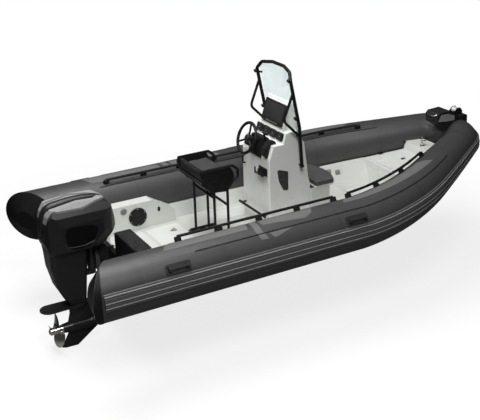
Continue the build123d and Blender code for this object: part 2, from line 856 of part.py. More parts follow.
def glass_form(grown):
    with BuildPart() as form:
        for z in (glass_low - grown, glass_high + grown):
            x = upright_x(z) + frame_tube + 4
            half = glass_half - (22 if z > frame_knee[1] else 0) + grown
            with BuildSketch(Plane.XY.offset(z)):
                with BuildLine():
                    back, front = x - grown, x + glass_thickness + grown
                    inner = ThreePointArc((back, half), (back + glass_bulge, 0), (back, -half))
                    outer = ThreePointArc((front, half), (front + glass_bulge, 0), (front, -half))
                    Line(inner @ 0, outer @ 0)
                    Line(inner @ 1, outer @ 1)
                make_face()
        loft(ruled=True)
    return form.part


with BuildPart() as windscreen:
    add(glass_form(0))
keep(windscreen, "windscreen")

glass_void = glass_form(glass_gap)
with BuildPart() as windscreen_frame:
    add(bar(frame_side + [(x, -y, z) for x, y, z in reversed(frame_side)], frame_tube, 45))
    for side in (-1, 1):
        y = side * frame_half
        brace = [(frame_x - 82, y, 1530), (frame_x - 190, y, 1262), (brace_x, y, 1062)]
        add(bar(brace, brace_tube, 60))
        add(rod((foot_x, y, 735), (foot_x, side * console_half, 735), 10))
        add(rod((brace_x, y, 1062), (brace_x, side * (console_half - 10), 1062), 17))
        add(rod((foot_x - 15, y, 735), (foot_x + 15, y, 735), 18))
        for z in (1215, 1625):
            x = upright_x(z)
            add(rod((x, y, z), (x + 30, side * (glass_half - 30), z), 11))
    add(glass_void, mode=Mode.SUBTRACT)
    add(console.part, mode=Mode.SUBTRACT)
keep(windscreen_frame, "windscreen_frame")

# --- Front seat ------------------------------------------------------------
seat_start = front_x + 60.0
seat_depth, seat_bulge = 334.0, 90.0      # to the middle of the bowed front edge
seat_bow = seat_start + seat_depth
seat_end = seat_bow - seat_bulge
seat_half = 305.0
seat_top = 430.0
seat_wall = 15.0
seat_lid_thickness = 10.0
cushion_top = 488.0
base_depth, base_bulge, base_half = 323.0, 75.0, 285.0
base_bow = front_x + base_depth
base_end = base_bow - base_bulge
hinge_drop = 0.3


def bowed(start, end, bow, half):
    # a plan outline with a straight aft edge and a bowed front edge
    with BuildLine() as edge:
        Polyline((end, half), (start, half), (start, -half), (end, -half))
        ThreePointArc((end, -half), (bow, 0), (end, half))
    return edge.line


def bowed_block(outline, z_low, z_high, rounding):
    with BuildSketch(Plane.XY.offset(z_low)) as plan:
        with BuildLine():
            add(outline)
        make_face()
        fillet(plan.vertices(), rounding)
    return prism(plan.sketch, z_high - z_low)


seat_outer = bowed_block(bowed(front_x, base_end, base_bow, base_half), sole_top, seat_top, 25)
seat_inner = bowed_block(
    bowed(front_x + seat_wall, base_end - seat_wall, base_bow - seat_wall, base_half - seat_wall),
    sole_top,
    seat_top,
    12,
)
with BuildPart() as seat_base:
    add(seat_outer)
    add(seat_inner, mode=Mode.SUBTRACT)
keep(seat_base, "seat_base")

cushion_seat = seat_top + hinge_drop + seat_lid_thickness
with BuildPart() as seat_lid:
    add(
        bowed_block(
            bowed(seat_start, seat_end - 15, seat_bow - 15, seat_half - 12),
            seat_top + hinge_drop,
            cushion_seat,
            25,
        )
    )
keep(seat_lid, "seat_lid")

with BuildPart() as seat_cushion:
    add(bowed_block(bowed(seat_start, seat_end, seat_bow, seat_half), cushion_seat + gap, cushion_top, 30))
    fillet(seat_cushion.faces().sort_by(Axis.Z)[-1].edges(), 14)
keep(seat_cushion, "seat_cushion")

# --- Leaning post ----------------------------------------------------------
leg_rows, leg_y = (1130.0, 1285.0), 226.0
leg_tube = 14.0
tray_low, tray_high = 650.0, 770.0
tray_start, tray_end, tray_half = 985.0, 1316.0, 250.0
plate_thickness = 12.0
foot_thickness = 6.0
post_cushion_top = 830.0
bolster_end, bolster_top = 1038.0, 884.0
with BuildPart() as post_frame:
    for side in (-1, 1):
        for x in leg_rows:
            add(rod((x, side * leg_y, sole_top + foot_thickness), (x, side * leg_y, tray_low), leg_tube))
        add(rod((1065, side * leg_y, sole_top + 22), (1350, side * leg_y, sole_top + 22), leg_tube))
        for x in (1080, 1208, 1335):
            with BuildSketch(Plane.XY.offset(sole_top)):
                with Locations((x, side * leg_y)):
                    RectangleRounded(60, 70, 12)
            extrude(amount=10)
    for x, z in zip(leg_rows, (560, 450)):
        add(rod((x, -leg_y, z), (x, leg_y, z), leg_tube - 1))
keep(post_frame, "post_frame")

with BuildPart() as post_tray:
    add(slab([(tray_start, tray_high), (tray_start, 730), (1070, tray_low), (tray_end, tray_low),
              (tray_end, tray_high)], -tray_half, tray_half))
keep(post_tray, "post_tray")

plate_side = [(957, 841), (1067, 640), (1257, 619), (1340, 700), (1345, 800), (1300, 884), (971, 893)]
arm_side = [(975, 884), (1330, 884), (1394, 830), (1394, 762), (1336, 705)]
arm_y = tray_half + plate_thickness / 2
with BuildPart() as post_sides:
    for side in (-1, 1):
        low, high = sorted((side * tray_half, side * (tray_half + plate_thickness)))
        add(slab(plate_side, low, high, 12))
        add(bar([(x, side * arm_y, z) for x, z in arm_side], 15, 28))
    add(slab([(900, 600), (tray_end + 1, 600), (tray_end + 1, 910), (900, 910)], -tray_half, tray_half),
        mode=Mode.SUBTRACT)
keep(post_sides, "post_sides")

soft_side = tray_half - 4
with BuildPart() as post_cushion:
    add(slab([(bolster_end + 5, tray_high + gap), (tray_end, tray_high + gap), (tray_end, post_cushion_top),
              (bolster_end + 5, post_cushion_top)], -soft_side, soft_side, 16))
keep(post_cushion, "post_cushion")

with BuildPart() as post_bolster:
    add(slab([(tray_start, tray_high + gap), (bolster_end, tray_high + gap), (bolster_end - 6, bolster_top),
              (tray_start - 10, bolster_top)], -soft_side, soft_side, 18))
keep(post_bolster, "post_bolster")

# --- Liner fittings --------------------------------------------------------
hatch_x, hatch_z, hatch_radius = 617.0, 174.0, 104.0
port_x, port_z, port_radius = 460.0, 271.0, 37.0
fitting_rise = 9.0
with BuildPart() as side_hatches:
    for side in (-1, 1):
        face = side * side_block_inner
        rim, lid = face - side * fitting_rise, face - side * (fitting_rise + 5)
        add(rod((hatch_x, face, hatch_z), (hatch_x, rim, hatch_z), hatch_radius))
        add(rod((hatch_x, rim, hatch_z), (hatch_x, lid, hatch_z), hatch_radius - 22))
keep(side_hatches, "side_hatches")

with BuildPart() as side_ports:
    for side in (-1, 1):
        face = side * side_block_inner
        add(rod((port_x, face, port_z), (port_x, face - side * 5, port_z), port_radius))
keep(side_ports, "side_ports")

# --- Towing and lifting eyes -----------------------------------------------
eye_bore, eye_bar, eye_width = 14.0, 9.0, 16.0
eye_root = 40.0
bow_eye_z, bow_eye_reach = 60.0, 40.0
stern_eye_y, stern_eye_z, stern_eye_reach = 560.0, -30.0, 34.0


def eye_form(x, y, z, reach, facing):
    # a plate eye with its bore across the boat, reach clear of its base at x
    nose = x + facing * reach
    root = sorted((x - facing * eye_root, nose))
    with BuildPart() as form:
        with BuildSketch(Plane.XZ.offset(-(y + eye_width / 2))):
            with Locations((nose, z)):
                Circle(eye_bore + eye_bar)
            with Locations(((root[0] + root[1]) / 2, z)):
                Rectangle(root[1] - root[0], 2 * (eye_bore + eye_bar) - 6)
            with Locations((nose, z)):
                Circle(eye_bore, mode=Mode.SUBTRACT)
        extrude(amount=eye_width)
    return form.part


stem_share = ((bow_eye_z + keel_depth) / (stem_height + keel_depth)) ** (1 / keel_power)
bow_eye_x = keel_straight_end + (stem_x - keel_straight_end) * stem_share
bow_eye = eye_form(bow_eye_x, 0, bow_eye_z, bow_eye_reach, 1) - hull_form
stern_eye = eye_form(0, stern_eye_y, stern_eye_z, stern_eye_reach, -1) - transom_form
with BuildPart() as eyes:
    add(bow_eye)
    add(stern_eye)
    add(twin(stern_eye))
keep(eyes, "towing_eyes")

# --- Outboard: clamp and swivel brackets -----------------------------------
tilt_x, tilt_z = -60.0, 290.0
steer_x = -150.0
tilt_tube, tilt_boss = 16.0, 30.0
pin_clearance = 0.06
clamp_in, clamp_out = 83.0, 105.0
clamp_foot = -60.0
hook_top = transom_top + 9
clamp_side = [
    (0, clamp_foot),
    (0, transom_top),
    (transom_thickness, transom_top),
    (transom_thickness + 6, hook_top),
    (-20, hook_top + 14),
    (tilt_x + 10, tilt_z + tilt_boss - 2),
    (tilt_x - 26, tilt_z + 14),
    (tilt_x - 30, tilt_z - 40),
    (-45, clamp_foot + 60),
    (-16, clamp_foot),
]
with BuildPart() as clamp_bracket:
    for side in (-1, 1):
        low, high = sorted((side * clamp_in, side * clamp_out))
        add(slab(clamp_side, low, high))
        add(rod((tilt_x, side * clamp_in, tilt_z), (tilt_x, side * (clamp_out + 14), tilt_z), tilt_boss - 4))
    add(rod((tilt_x, -clamp_out - 20, tilt_z), (tilt_x, clamp_out + 20, tilt_z), tilt_tube))
    add(slab([(0, 0), (0, 60), (-10, 60), (-10, 0)], -clamp_in, clamp_in))
keep(clamp_bracket, "clamp_bracket")

trim_half = 52.0
with BuildPart() as trim_unit:
    add(slab([(-10, -30), (-10, 190), (-70, 190), (-78, 150), (-70, -30)], -trim_half, trim_half, 8))
keep(trim_unit, "trim_unit")

barrel_radius, barrel_low, barrel_high = 45.0, 20.0, 285.0
steer_shaft, swivel_half = 20.0, 74.0
web_half = 34.0
with BuildPart() as swivel_bracket:
    add(rod((tilt_x, -swivel_half, tilt_z), (tilt_x, swivel_half, tilt_z), tilt_boss))
    add(rod((steer_x, 0, barrel_low), (steer_x, 0, barrel_high), barrel_radius))
    add(slab([(tilt_x, tilt_z + 5), (steer_x, barrel_high), (steer_x, 190), (-95, 225), (tilt_x, tilt_z - 24)],
             -web_half, web_half))
    add(rod((steer_x, 0, barrel_low - 1), (steer_x, 0, barrel_high + 40), steer_shaft + pin_clearance),
        mode=Mode.SUBTRACT)
    add(rod((tilt_x, -200, tilt_z), (tilt_x, 200, tilt_z), tilt_tube + pin_clearance), mode=Mode.SUBTRACT)
keep(swivel_bracket, "swivel_bracket")

# --- Outboard: leg ---------------------------------------------------------
cowl_base = 345.0
leg_sections = (         # height, aft x, front x, half width, corner
    (cowl_base, -600.0, -112.0, 178.0, 60.0),
    (303.0, -600.0, -207.0, 150.0, 55.0),
    (140.0, -596.0, -222.0, 118.0, 45.0),
    (-60.0, -552.0, -238.0, 92.0, 38.0),
    (-237.0, -468.0, -250.0, 70.0, 30.0),
    (-292.0, -440.0, -255.0, 58.0, 26.0),
)
yoke_radius = 34.0
with BuildPart() as motor_leg:
    for z, aft, front, half, corner in leg_sections:
        with BuildSketch(Plane.XY.offset(z)):
            with Locations(((aft + front) / 2, 0)):
                RectangleRounded(front - aft, 2 * half, corner)
    loft(ruled=True)
    add(rod((steer_x, 0, barrel_low - 45), (steer_x, 0, cowl_base - 4), steer_shaft))
    # lower yoke from the steering shaft's foot back to the leg
    add(rod((steer_x, 0, barrel_low - 45), (steer_x, 0, barrel_low - 6), yoke_radius))
    add(slab([(steer_x, barrel_low - 45), (steer_x, barrel_low - 6), (-280, barrel_low - 6),
              (-280, barrel_low - 45)], -yoke_radius, yoke_radius))
    add(rod((steer_x, 0, barrel_high + 8), (steer_x, 0, cowl_base - 4), yoke_radius))
keep(motor_leg, "motor_leg")

# --- Outboard: cowl --------------------------------------------------------
cowl_gap = 0.3
cowl_half, cowl_room_half = 217.0, 154.0
cowl_top_line = [(-634, 440), (-622, 580), (-590, 690), (-538, 755), (-269, 789), (-40, 774), (36, 742)]
cowl_low_line = [(82, 500), (56, 470), (-74, 372), (-112, cowl_base + cowl_gap)]
cowl_side = [(-600, cowl_base + cowl_gap)] + cowl_top_line + [(78, 560)] + cowl_low_line
cowl_plan = both_sides([(-634, 95), (-600, 160), (-480, 208), (-250, 217), (-60, 205), (30, 184), (84, 130)])
cowl_end = [(196, 330), (217, 440), (216, 570), (192, 700), (120, 800)]
cowl_end += [(-y, z) for y, z in reversed(cowl_end)]


def cowl_form(lift, inset):
    # the cowl's solid, its top lifted and its walls drawn in
    top = [(x, z + lift) for x, z in cowl_top_line]
    side = [cowl_side[0]] + top + cowl_side[len(top) + 1:]
    share = 1 - inset / cowl_half
    plan = [(x * share, y * share) for x, y in cowl_plan]
    end = [(y * share, z + lift * (z > 600)) for y, z in cowl_end]
    form = slab(side, -230, 230, 24) & board(plan, 320, 830, 40) & frame_of(end, -650, 120, 20)
    return form


recess_outline = [(-480, 592), (10, 692), (-200, 372), (-430, 372)]
recess_depth = 10.0
cowl_block = cowl_form(0, 0)
powerhead_half = 128.0
powerhead_side = [(-480, 352), (-480, 640), (-100, 640), (-100, 440), (-165, 352)]
with BuildPart() as cowl:
    add(cowl_block)
    for side in (-1, 1):
        low, high = sorted((side * (cowl_half - recess_depth), side * (cowl_half + 20)))
        add(slab(recess_outline, low, high, 30), mode=Mode.SUBTRACT)
    room = [(-580, 300), (-580, 560), (-535, 695), (-20, 705), (0, 520), (-120, 380), (-140, 300)]
    add(slab(room, -cowl_room_half, cowl_room_half), mode=Mode.SUBTRACT)
keep(cowl, "cowl")

with BuildPart() as powerhead:
    add(slab(powerhead_side, -powerhead_half, powerhead_half))
    add(slab([(-560, cowl_base), (-560, 354), (-150, 354), (-150, cowl_base)], -150, 150))
keep(powerhead, "powerhead")

panel_rise, ridge_rise = 5.0, 20.0
panel_plan = both_sides([(-560, 110), (-300, 122), (-110, 80), (-50, 30)])
panel_room = board(panel_plan, 640, 900, 20)
with BuildPart() as cowl_panel:
    add((cowl_form(panel_rise, 0) & panel_room) - cowl_block)
keep(cowl_panel, "cowl_panel")

ridge_plan = both_sides([(-610, 120), (-500, 158), (-250, 164), (-60, 132), (10, 60)])
with BuildPart() as cowl_ridge:
    add((cowl_form(ridge_rise, 0) & board(ridge_plan, 640, 900, 20)) - cowl_block - panel_room)
keep(cowl_ridge, "cowl_ridge")

# --- Outboard: gearcase and propeller --------------------------------------
shaft_z = -560.0
torpedo_aft, torpedo_nose, torpedo_radius = -520.0, -85.0, 58.0
prop_shaft, prop_play = 14.0, 0.06
skeg_half = 7.0
plate_z, plate_depth = -305.0, 10.0
strut_sections = (       # height, aft x, front x, half width
    (plate_z + 13, -440.0, -252.0, 58.0),
    (-400.0, -432.0, -190.0, 42.0),
    (shaft_z + 20, -470.0, -135.0, 36.0),
)


with BuildPart() as gearcase:
    for z, aft, front, half in strut_sections:
        with BuildSketch(Plane.XY.offset(z)):
            with BuildLine():
                middle = aft * 0.5 + front * 0.5
                ThreePointArc((aft, 0), (middle, half), (front, 0))
                ThreePointArc((front, 0), (middle, -half), (aft, 0))
            make_face()
    loft(ruled=True)
    # torpedo, turned about the propeller's axis
    with BuildSketch(Plane.XZ):
        with BuildLine():
            start = Line((torpedo_aft, shaft_z), (torpedo_aft, shaft_z + 46))
            back = Line(start @ 1, (-420, shaft_z + torpedo_radius))
            body = Line(back @ 1, (torpedo_nose - 150, shaft_z + torpedo_radius))
            nose = ThreePointArc(body @ 1, (torpedo_nose - 38, shaft_z + 38), (torpedo_nose, shaft_z))
            Line(nose @ 1, start @ 0)
        make_face()
    revolve(axis=Axis((0, 0, shaft_z), (1, 0, 0)))
    # anti-ventilation plate
    with BuildSketch(Plane.XY.offset(plate_z - plate_depth)):
        with BuildLine():
            aft = ThreePointArc((-640, 96), (-728, 0), (-640, -96))
            edge = Line(aft @ 1, (-420, -92))
            front = Spline(edge @ 1, (-250, -50), (-215, 0), (-250, 50), (-420, 92))
            Line(front @ 1, aft @ 0)
        make_face()
    extrude(amount=plate_depth)
    # skeg
    skeg = [(-450, shaft_z - 40), (-545, shaft_z - 210), (-505, shaft_z - 222), (-378, shaft_z - 226)]
    skeg += [(-150, shaft_z - 62), (-130, shaft_z - 30)]
    add(slab(skeg, -skeg_half, skeg_half))
    add(rod((torpedo_aft - 142, 0, shaft_z), (torpedo_aft + 20, 0, shaft_z), prop_shaft))
keep(gearcase, "gearcase")

hub_start, hub_end, hub_radius = torpedo_aft - 0.5, torpedo_aft - 130, 44.0
prop_radius = 185.0
prop_pitch = 430.0
blade_sections = (       # radius, chord, thickness
    (36.0, 84.0, 12.0),
    (90.0, 150.0, 10.0),
    (140.0, 160.0, 7.0),
    (prop_radius, 60.0, 3.0),
)
blade_count = 3
blade_x = (hub_start + hub_end) / 2
with BuildPart() as blade:
    for radius, chord, thickness in blade_sections:
        pitch = atan(prop_pitch / (2 * pi * radius))
        plane = Plane(
            origin=(blade_x, 0, shaft_z + radius), x_dir=(sin(pitch), cos(pitch), 0), z_dir=(0, 0, 1)
        )
        with BuildSketch(plane):
            with BuildLine():
                ThreePointArc((-chord / 2, 0), (0, thickness / 2), (chord / 2, 0))
                ThreePointArc((chord / 2, 0), (0, -thickness / 2), (-chord / 2, 0))
            make_face()
    loft()
with BuildPart() as propeller:
    for turn in range(blade_count):
        add(blade.part.rotate(Axis((0, 0, shaft_z), (1, 0, 0)), 360 / blade_count * turn))
    with BuildSketch(Plane.YZ.offset(hub_end)):
        with Locations((0, shaft_z)):
            Circle(hub_radius - 8)
    extrude(amount=hub_start - hub_end, taper=-3)
    add(rod((hub_end - 5, 0, shaft_z), (hub_start + 5, 0, shaft_z), prop_shaft + prop_play), mode=Mode.SUBTRACT)
keep(propeller, "propeller")

with BuildPart() as prop_nut:
    with BuildSketch(Plane.YZ.offset(hub_end - 11)):
        with Locations((0, shaft_z)):
            RegularPolygon(22, 6)
            Circle(prop_shaft, mode=Mode.SUBTRACT)
    extrude(amount=10)
keep(prop_nut, "prop_nut")
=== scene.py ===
from math import cos, exp, pi, radians, sin
import bpy
import bmesh
from mathutils import Matrix, Vector
from mathutils.bvhtree import BVHTree


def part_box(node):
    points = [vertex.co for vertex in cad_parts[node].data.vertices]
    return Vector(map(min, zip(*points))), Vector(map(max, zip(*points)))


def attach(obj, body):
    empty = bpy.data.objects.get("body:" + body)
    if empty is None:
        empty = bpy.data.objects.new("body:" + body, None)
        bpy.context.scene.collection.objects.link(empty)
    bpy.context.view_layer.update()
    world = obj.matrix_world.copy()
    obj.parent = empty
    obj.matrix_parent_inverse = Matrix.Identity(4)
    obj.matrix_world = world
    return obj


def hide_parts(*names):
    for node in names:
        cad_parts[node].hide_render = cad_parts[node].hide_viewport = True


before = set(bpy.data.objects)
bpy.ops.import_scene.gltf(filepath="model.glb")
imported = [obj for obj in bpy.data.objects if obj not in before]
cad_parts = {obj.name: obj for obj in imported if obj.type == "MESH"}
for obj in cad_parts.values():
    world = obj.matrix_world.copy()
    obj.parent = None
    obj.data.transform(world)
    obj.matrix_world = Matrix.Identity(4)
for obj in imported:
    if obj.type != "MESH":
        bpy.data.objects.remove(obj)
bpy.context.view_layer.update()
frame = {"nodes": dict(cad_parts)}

nodes, scene = frame["nodes"], bpy.context.scene
sides = (("Port", 1), ("Starboard", -1))
axisX, axisY, axisZ = Vector((1, 0, 0)), Vector((0, 1, 0)), Vector((0, 0, 1))
halfTurn = [pi * k / 12 for k in range(13)]
print("frame loaded", len(nodes), "nodes")


def addObject(name, data):
    made = bpy.data.objects.new(name, data)
    scene.collection.objects.link(made)
    return made


# ---- camera ----

view = dict(
    place=(-2.917, -8.046, 4.213),
    turn=-29.04,          # degrees, 0 looks along +Y
    height=23.3,
    roll=-1.58,
    lens=70.42, sensor=36, reach=80,
)


def makeCamera():
    turn, height, roll = (radians(view[key]) for key in ("turn", "height", "roll"))
    back = Vector((sin(turn) * cos(height), -cos(turn) * cos(height), sin(height)))
    right = Vector((cos(turn), sin(turn), 0))
    up = back.cross(right)
    rightRolled = cos(roll) * right + sin(roll) * up
    upRolled = cos(roll) * up - sin(roll) * right
    data = bpy.data.cameras.new("camera")
    data.lens, data.sensor_width, data.clip_end = view["lens"], view["sensor"], view["reach"]
    axes = Matrix((rightRolled, upRolled, back)).transposed().to_4x4()
    scene.camera = addObject("camera", data)
    scene.camera.matrix_world = Matrix.Translation(view["place"]) @ axes


makeCamera()

# ---- shader nodes and the groups shared by several finishes ----


def feed(tree, node, **inputs):
    # an input is named, with _ for a space, or numbered after a _; it takes a socket or a plain value
    for key, value in inputs.items():
        socket = node.inputs[int(key[1:]) if key[0] == "_" else key.replace("_", " ")]
        if isinstance(value, bpy.types.NodeSocket):
            tree.links.new(value, socket)
        else:
            socket.default_value = value


def addNode(tree, kind, settings=None, **inputs):
    node = tree.nodes.new("ShaderNode" + kind)
    for key, value in (settings or {}).items():
        setattr(node, key, value)
    feed(tree, node, **inputs)
    return node.outputs


def useGroup(tree, group, **inputs):
    return addNode(tree, "Group", {"node_tree": group}, **inputs)


def mathNode(tree, operation, *values, kind="Math"):
    inputs = {f"_{k}": value for k, value in enumerate(values)}
    return addNode(tree, kind, {"operation": operation}, **inputs)


def times(tree, first, second):
    return mathNode(tree, "MULTIPLY", first, second)[0]


def remap(tree, source, low=0.0, high=1.0, newLow=0.0, newHigh=1.0, kind="LINEAR"):
    limits = {"_1": low, "_2": high, "_3": newLow, "_4": newHigh}
    return addNode(tree, "MapRange", {"interpolation_type": kind}, _0=source, **limits)[0]


def mixColors(tree, share, low, high, blend="MIX"):
    settings = {"data_type": "RGBA", "blend_type": blend}
    return addNode(tree, "Mix", settings, _0=share, _6=low, _7=high)[2]


def noise(tree, scale, detail, rough=0.5):
    place = addNode(tree, "TexCoord")["Object"]
    return addNode(tree, "TexNoise", Vector=place, Scale=scale, Detail=detail, Roughness=rough)["Fac"]


def separate(tree, vector):
    return addNode(tree, "SeparateXYZ", _0=vector)


def bump(tree, height, distance, strength=0.5):
    return addNode(tree, "Bump", Strength=strength, Distance=distance, Height=height)[0]


def rgba(color):
    # one number is a grey, two are a grey and its own blue, three are a full colour
    parts = color if isinstance(color, tuple) else (color,)
    return parts[:1] * (3 - len(parts)) + parts + (1,)


def newGroup(name, inputs, outputs):
    # a label that ends in Color or Vector says what kind its socket is
    group = bpy.data.node_groups.new(name, "ShaderNodeTree")
    for way, labels in (("INPUT", inputs), ("OUTPUT", outputs)):
        for label in labels:
            kind = label.split()[-1] if label.split()[-1] in ("Color", "Vector") else "Float"
            socket = group.interface.new_socket(name=label, in_out=way, socket_type="NodeSocket" + kind)
            if way == "INPUT" and inputs[label] is not None:
                socket.default_value = inputs[label]
    return group, group.nodes.new("NodeGroupInput").outputs, group.nodes.new("NodeGroupOutput")


grainSet = {"detail": 3.0, "clouds": (2.3, 4.0, 0.55), "cloudRange": (0.35, 0.65), "shade": 0.62}
dustGrey = (0.35, 0.34, 0.32)


def makeGrainGroup():
    # fine moulded or painted grain, with slow colour clouds
    inputs = {"Color": rgba(0.5), "Clouds": 0.1, "Scale": 300.0}
    group, start, end = newGroup("surfaceGrain", inputs, ("Color", "Height", "Cloud Mask"))
    mask = remap(group, noise(group, *grainSet["clouds"]), *grainSet["cloudRange"])
    dark = mixColors(group, 1.0, start["Color"], rgba(grainSet["shade"]), "MULTIPLY")
    mixed = mixColors(group, times(group, mask, start["Clouds"]), start["Color"], dark)
    fine = noise(group, start["Scale"], grainSet["detail"])
    feed(group, end, Color=mixed, Height=fine, Cloud_Mask=mask)
    return group


def makeWeaveGroup():
    # coated cloth: two crossed thread waves in metres, read from the piece's own map
    group, start, end = newGroup("clothWeave", {"Vector": None, "Threads": 900.0}, ("Height",))
    scaled = addNode(group, "VectorMath", {"operation": "SCALE"}, _0=start["Vector"], Scale=start["Threads"])
    parts = separate(group, scaled[0])
    waves = [mathNode(group, "SINE", parts[k])[0] for k in range(2)]
    feed(group, end, Height=times(group, *waves))
    return group


def makeOverlayGroup(name, label, color, amount, pick, limits, speckle, gaps):
    # a second colour where the picked value is high, broken up by noise
    inputs = {"Color": rgba(0.1), label: rgba(color), "Amount": amount}
    group, start, end = newGroup(name, inputs, ("Color", "Mask"))
    broken = remap(group, noise(group, *speckle), *gaps)
    share = times(group, times(group, remap(group, pick(group), *limits), broken), start["Amount"])
    feed(group, end, Color=mixColors(group, share, start["Color"], start[label]), Mask=share)
    return group


def lookUp(tree):
    return separate(tree, addNode(tree, "NewGeometry")["Normal"])[2]


def edgeValue(tree):
    return addNode(tree, "NewGeometry")["Pointiness"]


grainGroup, weaveGroup = makeGrainGroup(), makeWeaveGroup()
dustGroup = makeOverlayGroup(
    "topDust", "Dust Color", dustGrey, 0.2, lookUp, (0.35, 1.0), (14.0, 6.0, 0.7), (0.42, 0.7))
wearGroup = makeOverlayGroup(
    "rubbedEdge", "Worn Color", 0.4, 0.4, edgeValue, (0.52, 0.62), (40.0, 5.0), (0.4, 0.65))

# ---- finishes ----


def startMaterial(name):
    material = bpy.data.materials.new(name)
    material.use_nodes = True
    tree = material.node_tree
    return material, tree, tree.nodes["Principled BSDF"]


def startFinish(name, color, rough, **grain):
    # a shader with grain in its colour and roughness, and the grain's own sockets
    material, tree, shader = startMaterial(name)
    base = useGroup(tree, grainGroup, Color=rgba(color), **grain)
    feed(tree, shader, Base_Color=base["Color"], Roughness=remap(tree, base["Cloud Mask"], 0, 1, *rough))
    return material, tree, shader, base


def moulded(name, color, rough=(0.4, 0.5), clouds=0.12, grain=300.0, depth=0.0004,
            worn=None, dust=0.0, dustColor=dustGrey, specular=0.5, coat=0.0):
    # plastic, paint, gelcoat or rubber with grain, rubbed edges and dust
    material, tree, shader, base = startFinish(name, color, rough, Clouds=clouds, Scale=grain)
    tint = base["Color"]
    if worn:
        tint = useGroup(tree, wearGroup, Color=tint, Worn_Color=rgba(worn))["Color"]
    if dust:
        tint = useGroup(tree, dustGroup, Color=tint, Dust_Color=rgba(dustColor), Amount=dust)["Color"]
    feed(tree, shader, Base_Color=tint, Specular_IOR_Level=specular, Coat_Weight=coat, Coat_Roughness=0.12,
         Normal=bump(tree, base["Height"], depth))
    return material


def fabric(name, color, rough, threads=1400.0, depth=0.0005, dust=0.05, specular=0.3):
    # coated cloth or vinyl, woven along the piece's own map
    material, tree, shader, base = startFinish(name, color, rough, Clouds=0.22, Scale=160.0)
    tint = useGroup(tree, dustGroup, Color=base["Color"], Amount=dust)["Color"]
    place = addNode(tree, "UVMap", {"uv_map": "skin"})[0]
    weave = useGroup(tree, weaveGroup, Vector=place, Threads=threads)[0]
    both = mathNode(tree, "MULTIPLY_ADD", weave, 0.4, base["Height"])[0]
    feed(tree, shader, Base_Color=tint, Specular_IOR_Level=specular, Normal=bump(tree, both, depth))
    return material


def metalFinish(name, color, rough):
    material, tree, shader, base = startFinish(name, color, rough, Clouds=0.2, Scale=500.0)
    feed(tree, shader, Metallic=1.0, Normal=bump(tree, base["Height"], 0.0001))
    return material


def transomFinish(name, outside, inside, turnX, fade=0.002):
    # dark outside, pale inside, changing at turnX along the boat
    material, tree, shader, dark = startFinish(name, outside, (0.3, 0.42), Clouds=0.1)
    along = separate(tree, addNode(tree, "TexCoord")["Object"])[0]
    pale = useGroup(tree, grainGroup, Color=rgba(inside), Clouds=0.08)
    share = remap(tree, along, turnX - fade, turnX + fade)
    feed(tree, shader, Base_Color=mixColors(tree, share, dark["Color"], pale["Color"]),
         Normal=bump(tree, dark["Height"], 0.0003))
    return material


def deckFinish(name, color, cell=150.0):
    # moulded non-slip: small raised lozenges
    material, tree, shader, base = startFinish(name, color, (0, 1), Clouds=0.1, Scale=260.0)
    tint = useGroup(tree, dustGroup, Color=base["Color"], Dust_Color=rgba((0.42, 0.4, 0.36)), Amount=0.12)
    cells = addNode(tree, "TexVoronoi", {"feature": "F1", "distance": "CHEBYCHEV"}, Scale=cell,
                    Vector=addNode(tree, "TexCoord")["Object"], Randomness=0.15)
    raised = remap(tree, cells["Distance"], 0.28, 0.4, 1.0, 0.0)
    feed(tree, shader, Base_Color=tint["Color"], Roughness=remap(tree, raised, 0, 1, 0.62, 0.5),
         Normal=bump(tree, raised, 0.0009, 0.6))
    return material


def glassFinish(name, color):
    material, tree, shader, _ = startFinish(name, color, (0.02, 0.05), Clouds=0.05, Scale=30.0)
    feed(tree, shader, Transmission_Weight=0.9, IOR=1.3)
    return material


